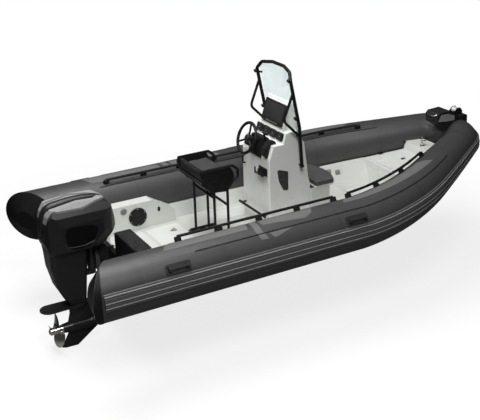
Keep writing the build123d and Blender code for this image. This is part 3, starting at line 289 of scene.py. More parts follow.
gelWhite, gelShade = (0.70, 0.71, 0.68), (0.55, 0.56, 0.53)
gelGloss = dict(rough=(0.24, 0.34), clouds=0.05, depth=0.00015, dustColor=(0.5, 0.49, 0.45), coat=0.3)
rubberGrain = dict(grain=420, dust=0.03)
vinylWeave = dict(threads=2600.0, depth=0.0003)
paintGrain = dict(grain=500, depth=0.00015)
trimGrain = dict(grain=700, depth=0.0002)
finishes = dict(
    tube=fabric("tubeFabric", (0.060, 0.061), (0.37, 0.46), specular=0.5, dust=0.03),
    patch=fabric("tubePatch", 0.150, (0.42, 0.55), specular=0.25, dust=0.03),
    tape=fabric("tubeTape", (0.054, 0.055), (0.38, 0.47), specular=0.5, dust=0.03),
    rubber=moulded("satinRubber", (0.012, 0.0125), (0.42, 0.55), worn=0.06, specular=0.12, **rubberGrain),
    handleRubber=moulded(
        "handleRubber", (0.034, 0.035), (0.40, 0.52), worn=0.09, specular=0.25, **rubberGrain),
    strake=moulded("strakeRubber", (0.110, 0.111), (0.38, 0.5), grain=420, worn=0.2, dust=0.04, specular=0.3),
    # painted highlight: a paler, glossier copy of the strake rubber for the faces along the three ridges
    strakeCrest=moulded("strakeCrest", 0.30, (0.32, 0.42), grain=420, dust=0.04, specular=0.4),
    gel=moulded("paleGelcoat", gelWhite, dust=0.08, **gelGloss),
    consoleGel=moulded("consoleGelcoat", (0.84, 0.85, 0.82), dust=0.04, **gelGloss),
    hull=moulded("darkGelcoat", (0.010, 0.011), (0.25, 0.36), depth=0.00015, specular=0.25, coat=0.1),
    deck=deckFinish("nonSlipDeck", gelShade),
    lidDeck=deckFinish("nonSlipLid", gelWhite, 190.0),
    transom=transomFinish("transomGelcoat", (0.008, 0.009), gelWhite, 0.050),
    blackPlastic=moulded(
        "blackPlastic", (0.012, 0.0125), (0.36, 0.5), grain=700, worn=0.07, dust=0.03, specular=0.22),
    greyPlastic=moulded("greyPlastic", 0.23, (0.36, 0.48), grain=600, worn=0.4, dust=0.05),
    slate=moulded("slatePlastic", (0.045, 0.044, 0.043), grain=600, worn=0.12, dust=0.03, specular=0.25),
    whitePlastic=moulded("whitePlastic", (0.74, 0.72), (0.32, 0.42), clouds=0.05, grain=600),
    blackTube=moulded(
        "powderCoatedTube", (0.010, 0.0105), (0.32, 0.44), grain=900, worn=0.05, dust=0.02, specular=0.25),
    seatVinyl=fabric("seatVinyl", (0.095, 0.096), (0.45, 0.58), specular=0.25, **vinylWeave),
    postVinyl=fabric("postVinyl", (0.014, 0.0145), (0.42, 0.55), specular=0.2, **vinylWeave),
    padTop=fabric("padTopVinyl", (0.050, 0.052), (0.45, 0.58), specular=0.25, **vinylWeave),
    motorPaint=moulded("motorPaint", (0.019, 0.0195), (0.30, 0.42), clouds=0.08, worn=0.05,
                       dust=0.02, specular=0.4, **paintGrain),
    # painted shade: a near-black, duller copy of the motor paint, laid flat over the cowl's oval recess in
    # place of the shade inside it
    paintedRecessShade=moulded("paintedRecessShade", (0.005, 0.0055), (0.45, 0.55), clouds=0.08, specular=0.15, **paintGrain),
    motorPanel=moulded("motorPanel", 0.32, (0.36, 0.46), **trimGrain),
    motorSatin=moulded("motorSatin", (0.040, 0.041), (0.34, 0.44), specular=0.3, **paintGrain),
    motorTrim=moulded("motorTrim", (0.026, 0.027), (0.32, 0.44), specular=0.25, **trimGrain),
    engine=moulded("engineBlock", (0.09, 0.095), (0.5, 0.65), grain=120, depth=0.001),
    steel=metalFinish("polishedSteel", (0.80, 0.79, 0.78), (0.2, 0.34)),
    glass=glassFinish("tintedAcrylic", (0.86, 0.95, 0.95)),
    screen=moulded("displayGlass", (0.034, 0.033, 0.033), (0.12, 0.2), clouds=0.05, depth=0.00005,
                   specular=0.3, coat=0.1),
)

finishNodes = dict(
    hull="hull",
    transom="transom",
    deck="sole",
    lidDeck="locker_lid",
    gel="liner_port liner_starboard quarter_blocks bow_deck seat_base seat_lid",
    consoleGel="console",
    blackPlastic="quarter_pads bow_plate display gauges helm steering_wheel throttle_box throttle_lever"
                 " post_tray side_hatches",
    whitePlastic="bow_roller",
    greyPlastic="side_ports",
    slate="pocket_door",
    rubber="tube_cones aft_grab_rails forward_grab_rails",
    handleRubber="carry_handles",
    strake="strakes",
    tube="tube_port tube_starboard bow_tube_port bow_tube_starboard",
    blackTube="console_bars windscreen_frame post_frame post_sides",
    glass="windscreen",
    seatVinyl="seat_cushion",
    postVinyl="post_cushion post_bolster",
    motorPaint="clamp_bracket swivel_bracket motor_leg cowl gearcase",
    motorTrim="trim_unit",
    motorPanel="cowl_panel cowl_ridge",
    engine="powerhead",
    steel="samson_post towing_eyes propeller prop_nut",
)
for finish, names in finishNodes.items():
    for node in (nodes[name] for name in names.split()):
        if not node.material_slots:
            node.data.materials.append(finishes[finish])
        for slot in node.material_slots:
            slot.material = finishes[finish]
print("finishes set on", sum(len(names.split()) for names in finishNodes.values()), "nodes")

# ---- helpers for new pieces ----


def newPiece(name, mesh, finish, slot, body="hull"):
    piece = addObject(name, mesh)
    for key in finish.split():
        mesh.materials.append(finishes[key])
    for face in mesh.polygons:
        face.use_smooth = True
    mesh.set_sharp_from_angle(angle=radians(40))
    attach(piece, body)
    return piece


def meshFrom(name, points, faces):
    mesh = bpy.data.meshes.new(name)
    mesh.from_pydata(points, [], faces)
    mesh.update()
    return mesh


def turnOutward(mesh):
    form = bmesh.new()
    form.from_mesh(mesh)
    bmesh.ops.recalc_face_normals(form, faces=form.faces[:])
    form.to_mesh(mesh)
    form.free()
    return mesh


def shapePiece(name, shapes, finish, slot, body="hull"):
    # one piece from several lists of points and faces
    points, faces = [], []
    for shapePoints, shapeFaces in shapes:
        shift = len(points)
        points += shapePoints
        faces += [[shift + n for n in face] for face in shapeFaces]
    newPiece(name, meshFrom(name, points, faces), finish, slot, body)


def ringFaces(rings, around, closed=False, capped=True):
    # faces between rings of points that follow one another in a list
    faces = []
    for r in range(rings if closed else rings - 1):
        low, high = r * around, (r + 1) % rings * around
        for k in range(around):
            n = (k + 1) % around
            faces.append([low + k, low + n, high + n, high + k])
    if capped and not closed:
        faces.append(list(range(around))[::-1])
        faces.append([(rings - 1) * around + k for k in range(around)])
    return faces


def circle(place, side, other, radius, segments):
    angles = (2 * pi * k / segments for k in range(segments))
    return [tuple(place + (side * cos(a) + other * sin(a)) * radius) for a in angles]


def turnedShape(origin, axis, outline, segments=32, base=0.0):
    # a shape turned about an axis, from (along, out) pairs in millimetres; out counts from base, in metres
    axis = Vector(axis).normalized()
    side = axis.orthogonal().normalized()
    points = []
    for along, out in outline:
        middle = Vector(origin) + axis * (along / 1000)
        points += circle(middle, side, axis.cross(side), base + out / 1000, segments)
    return points, ringFaces(len(outline), segments)


def plateShape(origin, right, up, wide, high, deep, corner, steps=5):
    # a rounded plate on a plane, deep along the plane's normal, with a small turned edge
    right, up = Vector(right).normalized(), Vector(up).normalized()
    out = right.cross(up)
    edge = min(deep * 0.4, corner * 0.5)
    points = []
    rings = ((0.0, 0.0), (0.0, deep - edge), (edge * 0.3, deep - edge * 0.3), (edge, deep))
    for inset, lift in rings:
        for signX, signY, first in ((1, 1, 0), (-1, 1, 90), (-1, -1, 180), (1, -1, 270)):
            for k in range(steps + 1):
                a = radians(first + 90 * k / steps)
                x = signX * (wide / 2 - corner) + (corner - inset) * cos(a)
                y = signY * (high / 2 - corner) + (corner - inset) * sin(a)
                points.append(tuple(Vector(origin) + right * x + up * y + out * lift))
    return points, ringFaces(len(rings), 4 * (steps + 1))


def routeShape(route, radius, segments=10, closed=False):
    # a round section carried along a route of points
    route = [Vector(p) for p in route]
    points, side, count = [], None, len(route)
    for k, place in enumerate(route):
        fore = route[(k + 1) % count] if closed or k < count - 1 else place
        aft = route[k - 1] if closed or k > 0 else place
        way = (fore - aft).normalized()
        across = way.orthogonal() if side is None else side - way * side.dot(way)
        side = across.normalized()
        points += circle(place, side, way.cross(side), radius, segments)
    return points, ringFaces(count, segments, closed)


def smoothRoute(points, steps=8):
    # a Catmull-Rom curve through the points
    ends = [points[0], *points, points[-1]]
    found = []
    for corners in zip(ends, ends[1:], ends[2:], ends[3:]):
        for f in (k / steps for k in range(steps)):
            found.append(tuple(
                0.5 * (2 * b + (c - a) * f + (2 * a - 5 * b + 4 * c - d) * f * f
                       + (3 * b - 3 * c + d - a) * f ** 3)
                for a, b, c, d in zip(*corners)
            ))
    return found + [tuple(points[-1])]


def turned(right, up, angle):
    # a plane's two directions, turned by degrees
    a = radians(angle)
    return right * cos(a) + up * sin(a), up * cos(a) - right * sin(a)


def cadTree(*names):
    # a search tree over the CAD nodes' surfaces, to lay details on them
    points, faces = [], []
    for node in (nodes[name] for name in names):
        shift = len(points)
        points += [node.matrix_world @ v.co for v in node.data.vertices]
        faces += [[shift + v for v in face.vertices] for face in node.data.polygons]
    return BVHTree.FromPolygons(points, faces)


def landOn(tree, start, way):
    # where a ray meets the surface, or the nearest place on it, with the normal there
    place, normal, *_ = tree.ray_cast(Vector(start), way)
    if place is None:
        place, normal, *_ = tree.find_nearest(Vector(start))
    return place, normal


def sideMapper(node, side):
    # lays (x, z) on a CAD piece's outboard side
    tree, way = cadTree(node), Vector((0, -side, 0))

    def mapper(x, z, lift):
        return landOn(tree, (x, side * 1.5, z), way)[0] - way * lift
    return mapper


# ---- inflatable tubes ----

tube = dict(
    radius=0.270, axisY=1.000, axisZ=0.280,
    rimX=-0.420, rimSlant=0.71, rimRings=8,
    leanEnd=-2.450,          # s aft of which the rings lean to the slanted rim
    straightEnd=2.330, bendRadius=2.600, bendAngle=radians(26),
    noseRadius=0.390, noseTube=0.170, taperPower=2.0, bowRise=0.300, sheerPower=1.35,
    ringStep=0.036, aroundSteps=80,
)
straightEnd, bendRadius = tube["straightEnd"], tube["bendRadius"]
noseRadius, bendAngle = tube["noseRadius"], tube["bendAngle"]
bendSin, bendCos = sin(bendAngle), cos(bendAngle)
bendLength = bendRadius * bendAngle
bendX = straightEnd + bendRadius * bendSin
bendY = tube["axisY"] - bendRadius * (1 - bendCos)
runLength = (bendY - noseRadius * bendCos) / bendSin
runX = bendX + runLength * bendCos
runY = bendY - runLength * bendSin
noseX = runX + noseRadius * (1 - bendSin)
bowLength = bendLength + runLength + noseRadius * (pi / 2 - bendAngle)


def axisPlace(s):
    # the port tube's axis and heading, s metres ahead of where the tubes start to bend
    if s <= 0:
        return straightEnd + s, tube["axisY"], 0.0
    if s <= bendLength:
        a = s / bendRadius
        return straightEnd + bendRadius * sin(a), tube["axisY"] - bendRadius * (1 - cos(a)), a
    s -= bendLength
    if s <= runLength:
        return bendX + s * bendCos, bendY - s * bendSin, bendAngle
    a = bendAngle + (s - runLength) / noseRadius
    return runX + noseRadius * (sin(a) - bendSin), runY - noseRadius * (bendCos - cos(a)), a


def sheerZ(x):
    share = max(0.0, (x - straightEnd) / (noseX - straightEnd))
    return tube["axisZ"] + tube["bowRise"] * share ** tube["sheerPower"]


def tubePoint(s, angle, side=1, lift=0.0, step=0.001):
    # a point on the tube's skin, angle in degrees outboard from its top; side 1 is port
    x, y, heading = axisPlace(s)
    climb = 0.0
    if 0 < s < bowLength - step:
        climb = (sheerZ(axisPlace(s + step)[0]) - sheerZ(axisPlace(s - step)[0])) / (2 * step)
    way = Vector((cos(heading), -sin(heading), climb)).normalized()
    out = Vector((sin(heading), cos(heading), 0))
    up = out.cross(way)
    up = up if up.z > 0 else -up
    taper = (max(s, 0) / bowLength) ** tube["taperPower"]
    radius = tube["radius"] + (tube["noseTube"] - tube["radius"]) * taper + lift
    a = radians(angle)
    place = Vector((x, y, sheerZ(x))) + (out * sin(a) + up * cos(a)) * radius
    return Vector((place.x, side * place.y, place.z))


def alongOf(x):
    # the distance s at which the tube's axis passes x
    if x <= straightEnd:
        return x - straightEnd
    low, high = 0.0, bowLength
    for _ in range(40):
        middle = (low + high) / 2
        low, high = (middle, high) if axisPlace(middle)[0] < x else (low, middle)
    return low


def slantPlace(angle, startX=tube["rimX"], reach=tube["rimSlant"] * tube["radius"]):
    # s on a line that slants round the tube, like the rim
    return startX - reach * sin(radians(angle)) - straightEnd


def addSkinMap(mesh, values):
    # the piece's own map, in metres along and around
    layer = mesh.uv_layers.new(name="skin")
    for loop in mesh.loops:
        layer.data[loop.index].uv = values[loop.vertex_index]


def makeTubeSkin(name, side, replaced):
    around, fixed, lean = tube["aroundSteps"], tube["leanEnd"], tube["rimRings"]
    count = int((bowLength - fixed) / tube["ringStep"])
    rings = range(-lean, count + 1)
    points, values = [], []
    for ring in rings:
        for k in range(around):
            angle = 360 * k / around
            start = slantPlace(angle)
            leaning = start + (fixed - start) * (ring + lean) / lean
            s = leaning if ring <= 0 else fixed + (bowLength - fixed) * ring / count
            points.append(tubePoint(s, angle, side))
            values.append((s, radians(angle) * tube["radius"]))
    faces = [face if side < 0 else face[::-1] for face in ringFaces(len(rings), around, capped=False)]
    mesh = meshFrom(name, points, faces)
    addSkinMap(mesh, values)
    piece = newPiece(name, mesh, "tube", "tube_fabric")
    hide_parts(*replaced)
    return piece


def layPatch(name, outline, mapper, finish, slot, cell, high, low=-0.0004, body="hull"):
    # a thin shape cut in a surface's own two directions, laid on it by mapper(u, v, lift)
    form = bmesh.new()
    form.faces.new([form.verts.new((u, v, 0)) for u, v in outline])
    for axis, step in enumerate(cell):
        first, last = boxOf(form.verts)[axis]
        for k in range(1, int((last - first) / step) + 1):
            cut, way = Vector((0, 0, 0)), Vector((0, 0, 0))
            cut[axis], way[axis] = first + k * step, 1
            geom = form.verts[:] + form.edges[:] + form.faces[:]
            bmesh.ops.bisect_plane(form, geom=geom, plane_co=cut, plane_no=way)
    form.verts.index_update()
    flat = [(v.co.x, v.co.y) for v in form.verts]
    base = len(flat)
    faces = [[v.index for v in face.verts] for face in form.faces]
    border = [(e.verts[0].index, e.verts[1].index) for e in form.edges if e.is_boundary]
    form.free()
    points = [mapper(u, v, lift) for lift in (low, high) for u, v in flat]
    faces = [[base + n for n in face] for face in faces] + [face[::-1] for face in faces]
    faces += [[a, b, base + b, base + a] for a, b in border]
    mesh = turnOutward(meshFrom(name, points, faces))
    addSkinMap(mesh, flat * 2)
    newPiece(name, mesh, finish, slot, body)


def boxOf(verts):
    return [(min(v.co[i] for v in verts), max(v.co[i] for v in verts)) for i in range(3)]


def skinPatch(name, outline, side, layer):
    # a glued-on shape on the tubes; its angles are laid in metres round the tube
    scale = radians(1) * tube["radius"]
    finish, lift, thick, slot = layers[layer]

    def mapper(s, v, up):
        return tubePoint(s, v / scale, side, lift + up)
    layPatch(name, [(s, a * scale) for s, a in outline], mapper, finish, slot, patchCell, thick)


decor = dict(
    # corners as (x in metres, degrees outboard from the tube's top)
    aftPatch=[(0.250, -20), (1.085, -20), (1.050, 10), (0.170, 10)],
    slantStripe=[(1.125, -20), (1.190, -20), (1.165, 22), (1.195, 45), (1.115, 43), (1.095, 22)],
    middlePatch=[(1.225, -20), (1.830, -12), (1.770, 7.5), (1.670, 19), (1.210, 7.5)],
    lowPatch=[(1.225, 33), (1.490, 33), (1.290, 45), (1.255, 45)],
    forePatch=[(2.235, -20), (3.420, -20), (3.524, 12), (2.170, 3)],
)
welts = dict(
    # thin raised lines: first x, last x, angle in degrees
    outerWelt=(0.440, 3.722, 30.5),
    innerWelt=(0.310, 3.794, -36.0),
)
tapes = dict(
    # glued bands over the seams: x, half width
    rimTape=(-0.150, 0.030), aftTape=(0.720, 0.018), middleTape=(2.000, 0.018),
    bendTape=(3.050, 0.018), bowTape=(3.800, 0.018), noseTape=(4.240, 0.020),
)
tapeEnds, weltHalf = (-130, 100), 1          # degrees
patchCell = (0.04, 0.014)
# the dark end band is partly black rubber and partly painted shade
rubberEndAndShade = {"startX": -0.430, "reach": 0.100, "overlap": 0.002, "angles": range(10, 171, 10)}
layers = dict(
    # finish, lift over the skin, thickness and slot
    patch=("patch", 0.0004, 0.0012, "tube_fabric"), tape=("tape", 0.0, 0.0007, "tube_fabric"),
    welt=("rubber", 0.0012, 0.0035, "tube_trim"), rubberEndAndShade=("rubber", 0.0006, 0.0016, "tube_trim"),
)


def bandOutline(s0, s1, a0, a1):
    return [(s0, a0), (s1, a0), (s1, a1), (s0, a1)]


def rubberEndAndShadeOutline():
    # the black band between the slanted rim and the grey fabric, on the outboard side: partly the black
    # rubber of the tube's end and partly painted shade
    fore = [(slantPlace(a, rubberEndAndShade["startX"], rubberEndAndShade["reach"]), a) for a in rubberEndAndShade["angles"]]
    aft = [(slantPlace(a, tube["rimX"] + rubberEndAndShade["overlap"]), a) for a in rubberEndAndShade["angles"]]
    return fore + aft[::-1]


for tag, side in sides:
    low = tag.lower()
    makeTubeSkin("tubeSkin" + tag, side, ["tube_" + low, "bow_tube_" + low])
    skinPatch("tubeEndRubberAndShade" + tag, rubberEndAndShadeOutline(), side, "rubberEndAndShade")
    for name, outline in decor.items():
        skinPatch(name + tag, [(alongOf(x), a) for x, a in outline], side, "patch")
    for name, (first, last, angle) in welts.items():
        strip = bandOutline(alongOf(first), alongOf(last), angle - weltHalf, angle + weltHalf)
        skinPatch(name + tag, strip, side, "welt")
    for name, (x, half) in tapes.items():
        strip = bandOutline(alongOf(x) - half, alongOf(x) + half, *tapeEnds)
        skinPatch(name + tag, strip, side, "tape")
print("tubes laid, with patches, welts and seam tapes")

strake = dict(
    # along the boat in metres, round the tube in degrees
    startX=-0.505, low=66.5, high=101.5, depth=0.012, edge=1.2, sink=0.0005,
    ridges=(72.5, 85.0, 95.0), crest=0.006, ridgeWidth=1.6, highlightWidth=1.1,
    groove=0.0035, grooveShift=3.2, grooveWidth=1.2,
    ridgeCuts=(-1.6, -0.5, 0, 0.5, 1.6, 3.2), step=0.04, around=44,
)


def bumpAt(angle, middle, width):
    return max(0.0, 1 - abs(angle - middle) / width)


def strakeLift(angle):
    # the strake's height over the skin, with its three ridges and falling edges
    edge = min(angle - strake["low"], strake["high"] - angle) / strake["edge"]
    lift = strake["depth"] * min(1.0, max(0.0, edge)) ** 0.5
    for ridge in strake["ridges"]:
        lift += strake["crest"] * bumpAt(angle, ridge, strake["ridgeWidth"]) ** 0.7
        lift -= strake["groove"] * bumpAt(angle, ridge + strake["grooveShift"], strake["grooveWidth"])
    return max(lift, -0.001) - strake["sink"]


def makeStrakes():
    start, around = strake["startX"] - straightEnd, strake["around"]
    count = int((bowLength - start) / strake["step"])
    even = {strake["low"] + (strake["high"] - strake["low"]) * k / around for k in range(around + 1)}
    angles = sorted(even | {ridge + shift for ridge in strake["ridges"] for shift in strake["ridgeCuts"]})
    wide = len(angles)
    points, faces, highlightFaces = [], [], set()
    for _, side in sides:
        first = len(points)
        for n in range(count + 1):
            s = start + (bowLength - start) * n / count
            points += [tubePoint(s, angle, side, strakeLift(angle)) for angle in angles]
        for n in range(count):
            for k in range(wide - 1):
                a = first + n * wide + k
                middle = (angles[k] + angles[k + 1]) / 2
                # faces along the ridges take the paler finish, a painted highlight on the ridge lines
                if any(abs(middle - ridge) < strake["highlightWidth"] for ridge in strake["ridges"]):
                    highlightFaces.add(len(faces))
                face = [a, a + 1, a + wide + 1, a + wide]
                faces.append(face if side < 0 else face[::-1])
        end = [first + k for k in range(wide)]
        faces.append(end[::-1] if side < 0 else end)
    mesh = meshFrom("rubbingStrakes", points, faces)
    piece = newPiece("rubbingStrakes", mesh, "strake strakeCrest", "tube_trim")
    for n, face in enumerate(mesh.polygons):
        face.material_index = int(n in highlightFaces)
    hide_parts("strakes")


makeStrakes()
print("rubbing strakes laid")

# ---- cushions ----

cushions = {
    "frontCushion": {
        "node": "seat_cushion", "body": "front_seat", "finish": "seatVinyl", "slot": "seat_vinyl",
        "voxel": 0.006, "shrink": 0.008, "pressure": 4.0, "cap": 0.009, "groove": 0.045, "crown": 0.004,
    },
    "leaningPad": {
        "node": "post_cushion", "body": "hull", "finish": "padTop", "slot": "post_vinyl",
        "voxel": 0.006, "shrink": 0.008, "pressure": 4.0, "cap": 0.010, "groove": 0.040, "crown": 0.006,
    },
    "leaningBolster": {
        "node": "post_bolster", "body": "hull", "finish": "postVinyl", "slot": "post_vinyl",
        "voxel": 0.005, "shrink": 0.006, "pressure": 3.0, "cap": 0.008, "groove": 0.0, "crown": 0.003,
    },
}
cushionSet = dict(
    floorShare=0.6, stiffness=12, frames=20, crownReach=0.12, spill=0.004,
    grooveDepth=0.0045, grooveWidth=0.0042, weltShare=0.70, weltRadius=0.0035, rays=120,
)


def makeCushion(name, plan):
    source = nodes[plan["node"]]
    mesh = source.data.copy()
    mesh.materials.clear()
    box = boxOf(mesh.vertices)
    middle = Vector([(low + high) / 2 for low, high in box])
    half = Vector([(high - low) / 2 for low, high in box])
    for v in mesh.vertices:
        for i, shrink in enumerate((plan["shrink"], plan["shrink"], plan["shrink"] / 2)):
            v.co[i] = middle[i] + (v.co[i] - middle[i]) * ((half[i] - shrink) / half[i])
        if v.co.z < middle.z:
            v.co.z = box[2][0] + (v.co.z - middle.z + half.z) * cushionSet["floorShare"]
    piece = newPiece(name, mesh, plan["finish"], plan["slot"], plan["body"])
    remesh = piece.modifiers.new("voxels", "REMESH")
    remesh.mode, remesh.voxel_size = "VOXEL", plan["voxel"]
    bakeModifiers(piece)
    puffUp(piece, plan)
    smooth = piece.modifiers.new("smooth", "SUBSURF")
    smooth.levels = smooth.render_levels = 1
    bakeModifiers(piece)
    shapeCushion(piece, plan, box)
    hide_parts(plan["node"])
    return piece


def puffUp(piece, plan):
    # cloth under pressure, held to a largest step
    before = [v.co.copy() for v in piece.data.vertices]
    settings = piece.modifiers.new("cloth", "CLOTH").settings
    settings.use_pressure, settings.uniform_pressure_force = True, plan["pressure"]
    settings.effector_weights.gravity = 0
    settings.tension_stiffness = settings.compression_stiffness = cushionSet["stiffness"]
    for n in range(cushionSet["frames"]):
        scene.frame_set(n + 1)
    bakeModifiers(piece)
    scene.frame_set(1)
    for v, start in zip(piece.data.vertices, before):
        step = v.co - start
        if step.length > plan["cap"]:
            v.co = start + step * (plan["cap"] / step.length)


def bakeModifiers(piece):
    graph = bpy.context.evaluated_depsgraph_get()
    graph.update()
    fresh = bpy.data.meshes.new_from_object(piece.evaluated_get(graph))
    old, materials = piece.data, list(piece.data.materials)
    piece.modifiers.clear()
    piece.data = fresh
    if not fresh.materials:
        for material in materials:
            fresh.materials.append(material)
    if old.users == 0:
        bpy.data.meshes.remove(old)


def shapeCushion(piece, plan, box):
    # the flat underside, the crown and the sewn channel round the top
    (x0, x1), (y0, y1), (z0, z1) = box
    spill, points = cushionSet["spill"], piece.data.vertices
    ownX, ownY, _ = boxOf(points)
    for v in points:
        x, y, z = v.co
        inside = max(0.0, min(x - ownX[0], ownX[1] - x, y - ownY[0], ownY[1] - y))
        top = max(0.0, (z - (z0 + z1) / 2) / ((z1 - z0) / 2))
        z += plan["crown"] * top * min(1.0, inside / cushionSet["crownReach"])
        if plan["groove"]:
            off = (inside - plan["groove"]) / cushionSet["grooveWidth"]
            z -= cushionSet["grooveDepth"] * top * exp(-off ** 2)
        v.co = (min(max(x, x0 - spill), x1 + spill), min(max(y, y0 - spill), y1 + spill), max(z, z0))
    for face in piece.data.polygons:
        face.use_smooth = True
    addSkinMap(piece.data, [(v.co.x, v.co.y + v.co.z) for v in points])


def outlineAt(mesh, z):
    # the cushion's outline at height z, from rays toward its middle
    tree = BVHTree.FromPolygons([v.co for v in mesh.vertices], [list(f.vertices) for f in mesh.polygons])
    centre = Vector([(low + high) / 2 for low, high in boxOf(mesh.vertices)])
    centre.z = z
    found = []
    for k in range(cushionSet["rays"]):
        a = 2 * pi * k / cushionSet["rays"]
        way = Vector((cos(a), sin(a), 0))
        place, *_ = tree.ray_cast(centre + way * 1.2, -way)
        if place:
            found.append((place.x, place.y, z))
    return found


for name, plan in cushions.items():
    mesh = makeCushion(name, plan).data
    low, high = boxOf(mesh.vertices)[2]
    seam = outlineAt(mesh, low + (high - low) * cushionSet["weltShare"])
    welt = routeShape(seam, cushionSet["weltRadius"], 8, closed=True)
    shapePiece(name + "Welt", [welt], "rubber", plan["slot"], plan["body"])
    print("cushion made:", name)

# ---- console fittings ----
# plates are wide, high, deep, corner radius and, where given, corner steps, in metres;
# turned outlines are (along, out) pairs in millimetres

consoleFaces = dict(
    # a face that looks aft: its foot and top (x, z), and the share of the way up
    pod=((1.944, 1.068), (2.052, 1.400), 0.57),
    dash=((1.925, 1.000), (1.955, 1.110), 0.53),
    shelf=((1.755, 0.850), (1.805, 1.000), 0.55),
)
facePlates = dict(
    # place on the face (right, up, out), plate, finish and slot
    pod=dict(
        displaySurround=((0, 0, 0), (0.422, 0.254, 0.008, 0.018), "whitePlastic", "white_plastic"),
        displayGlass=((0, 0.006, 0.022), (0.356, 0.180, 0.002, 0.006), "screen", "dark_plastic"),
        displayButtons=((0, -0.103, 0.022), (0.026, 0.009, 0.003, 0.004, 3), "greyPlastic", "grey_plastic"),
    ),
    shelf=dict(
        switchPanel=((-0.205, 0, 0), (0.100, 0.094, 0.004, 0.008), "blackPlastic", "dark_plastic"),
        switchRockers=((-0.205, 0, 0.004), (0.019, 0.034, 0.006, 0.004, 3), "motorTrim", "dark_plastic"),
    ),
)
# columns and rows, and the distance from one to the next
faceRows = {"displayButtons": (5, 1, 0.044, 0), "switchRockers": (3, 2, 0.030, 0.042)}


def facePlane(name):
    # a face's place, right, up and out
    *ends, share = consoleFaces[name]
    foot, top = (Vector((x, 0, z)) for x, z in ends)
    up = (top - foot).normalized()
    return foot + (top - foot) * share, -axisY, up, up.cross(axisY)


def makeFacePlates(face):
    place, right, up, out = facePlane(face)
    for name, ((across, rise, lift), plate, finish, slot) in facePlates[face].items():
        columns, rows, pitch, rowPitch = faceRows.get(name, (1, 1, 0, 0))
        shapes = []
        for row in range(rows):
            for column in range(columns):
                x = across + (column - (columns - 1) / 2) * pitch
                y = rise + (row - (rows - 1) / 2) * rowPitch
                shapes.append(plateShape(place + right * x + up * y + out * lift, right, up, *plate))
        shapePiece(name, shapes, finish, slot)


dialSet = dict(
    pitch=0.133, lift=0.014, radius=0.036,
    rim=[(0, -1), (0, 5), (9, 4), (11, 0), (9, -3), (2, -4)], rimSink=0.006,
    face=[(0, -2), (2.5, -3)], faceSink=0.0055, hub=[(0, 5), (3, 4.5)], markSink=0.003,
    tick=(0.007, 0.0018, 0.0008, 0.0008, 2), tickIn=0.009,
    needle=(0.032, 0.0022, 0.0008, 0.001, 2), needleSink=0.002, needleOut=0.010,
)


def makeDials(plan):
    place, right, up, out = facePlane("dash")
    radius = plan["radius"]
    faces, marks, rims = [], [], []
    for k in range(4):
        centre = place + right * (k - 1.5) * plan["pitch"] + out * plan["lift"]
        low = centre - out * plan["markSink"]
        rims.append(turnedShape(centre - out * plan["rimSink"], out, plan["rim"], 40, radius))
        faces.append(turnedShape(centre - out * plan["faceSink"], out, plan["face"], 40, radius))
        for n in range(11):
            ray, across = turned(right, up, 225 - 27 * n)
            marks.append(plateShape(low + ray * (radius - plan["tickIn"]), ray, across, *plan["tick"]))
        ray, across = turned(right, up, 200 - 18 * k)
        spot = centre - out * plan["needleSink"] + ray * plan["needleOut"]
        marks.append(plateShape(spot, ray, across, *plan["needle"]))
        marks.append(turnedShape(low, out, plan["hub"], 16))
    shapePiece("gaugeRims", rims, "motorTrim", "dark_plastic")
    shapePiece("gaugeFaces", faces, "screen", "dark_plastic")
    shapePiece("gaugeMarks", marks, "greyPlastic", "grey_plastic")


wheelSet = dict(
    centre=(1.654, 0.0, 1.043), tilt=radians(22.4), radius=0.160,
    grip=0.0165, grips=(30, 150, 270), gripHalf=42, gripSteps=14,
    cap=[(0, 36), (6, 36), (12, 32), (15, 22), (16, 4)], capSink=0.004,
)


def makeWheelTrim(plan):
    # the hub's cap and the stitched grips on the rim
    axis = Vector((-cos(plan["tilt"]), 0, sin(plan["tilt"])))
    centre, other = Vector(plan["centre"]), axis.cross(axisY)
    cap = turnedShape(centre - axis * plan["capSink"], axis, plan["cap"], 40)
    shapePiece("wheelCap", [cap], "motorTrim", "dark_plastic", "steering_wheel")
    grips, half, steps = [], plan["gripHalf"], plan["gripSteps"]
    for middle in plan["grips"]:
        turns = [middle - half + 2 * half * k / steps for k in range(steps + 1)]
        route = [centre + turned(axisY, other, turn)[0] * plan["radius"] for turn in turns]
        grips.append(routeShape(route, plan["grip"], 16))
    shapePiece("wheelGrips", grips, "rubber", "dark_plastic", "steering_wheel")


makeFacePlates("pod")
makeDials(dialSet)
makeFacePlates("shelf")
makeWheelTrim(wheelSet)
print("console fittings made")

# ---- hull fittings ----


def boltShape(place, axis, radius, high):
    # a screw's head with its washer, in millimetres
    washer = [(0, radius * 1.25), (1.2, radius * 1.25), (1.2, radius)]
    return turnedShape(place, axis, washer + [(high * 0.7, radius * 0.92), (high, radius * 0.5)], 16)


hatchSet = dict(
    # x, depth into the quarter block and z
    blockY=0.590, hatch=(0.617, 0.014, 0.174), port=(0.460, 0.005, 0.271),
    lid=[(0, 80), (3, 80), (5, 76), (5, 70), (2, 68), (2, 30), (6, 26), (7, 4)],
    grip=(0.040, 0.012, 0.009, 0.005, 3), gripOut=0.045, gripLift=0.001,
    screws=range(30, 360, 60), screwCircle=0.093, screwSink=0.005, screw=(4, 3),
    portRing=[(0, 36), (4, 34), (4, 26), (1, 24), (1, 4)],
    bars=(0.044, 0.036, 0.028), bar=(0.004, 0.004, 0.0015, 2), barPitch=0.009,
)


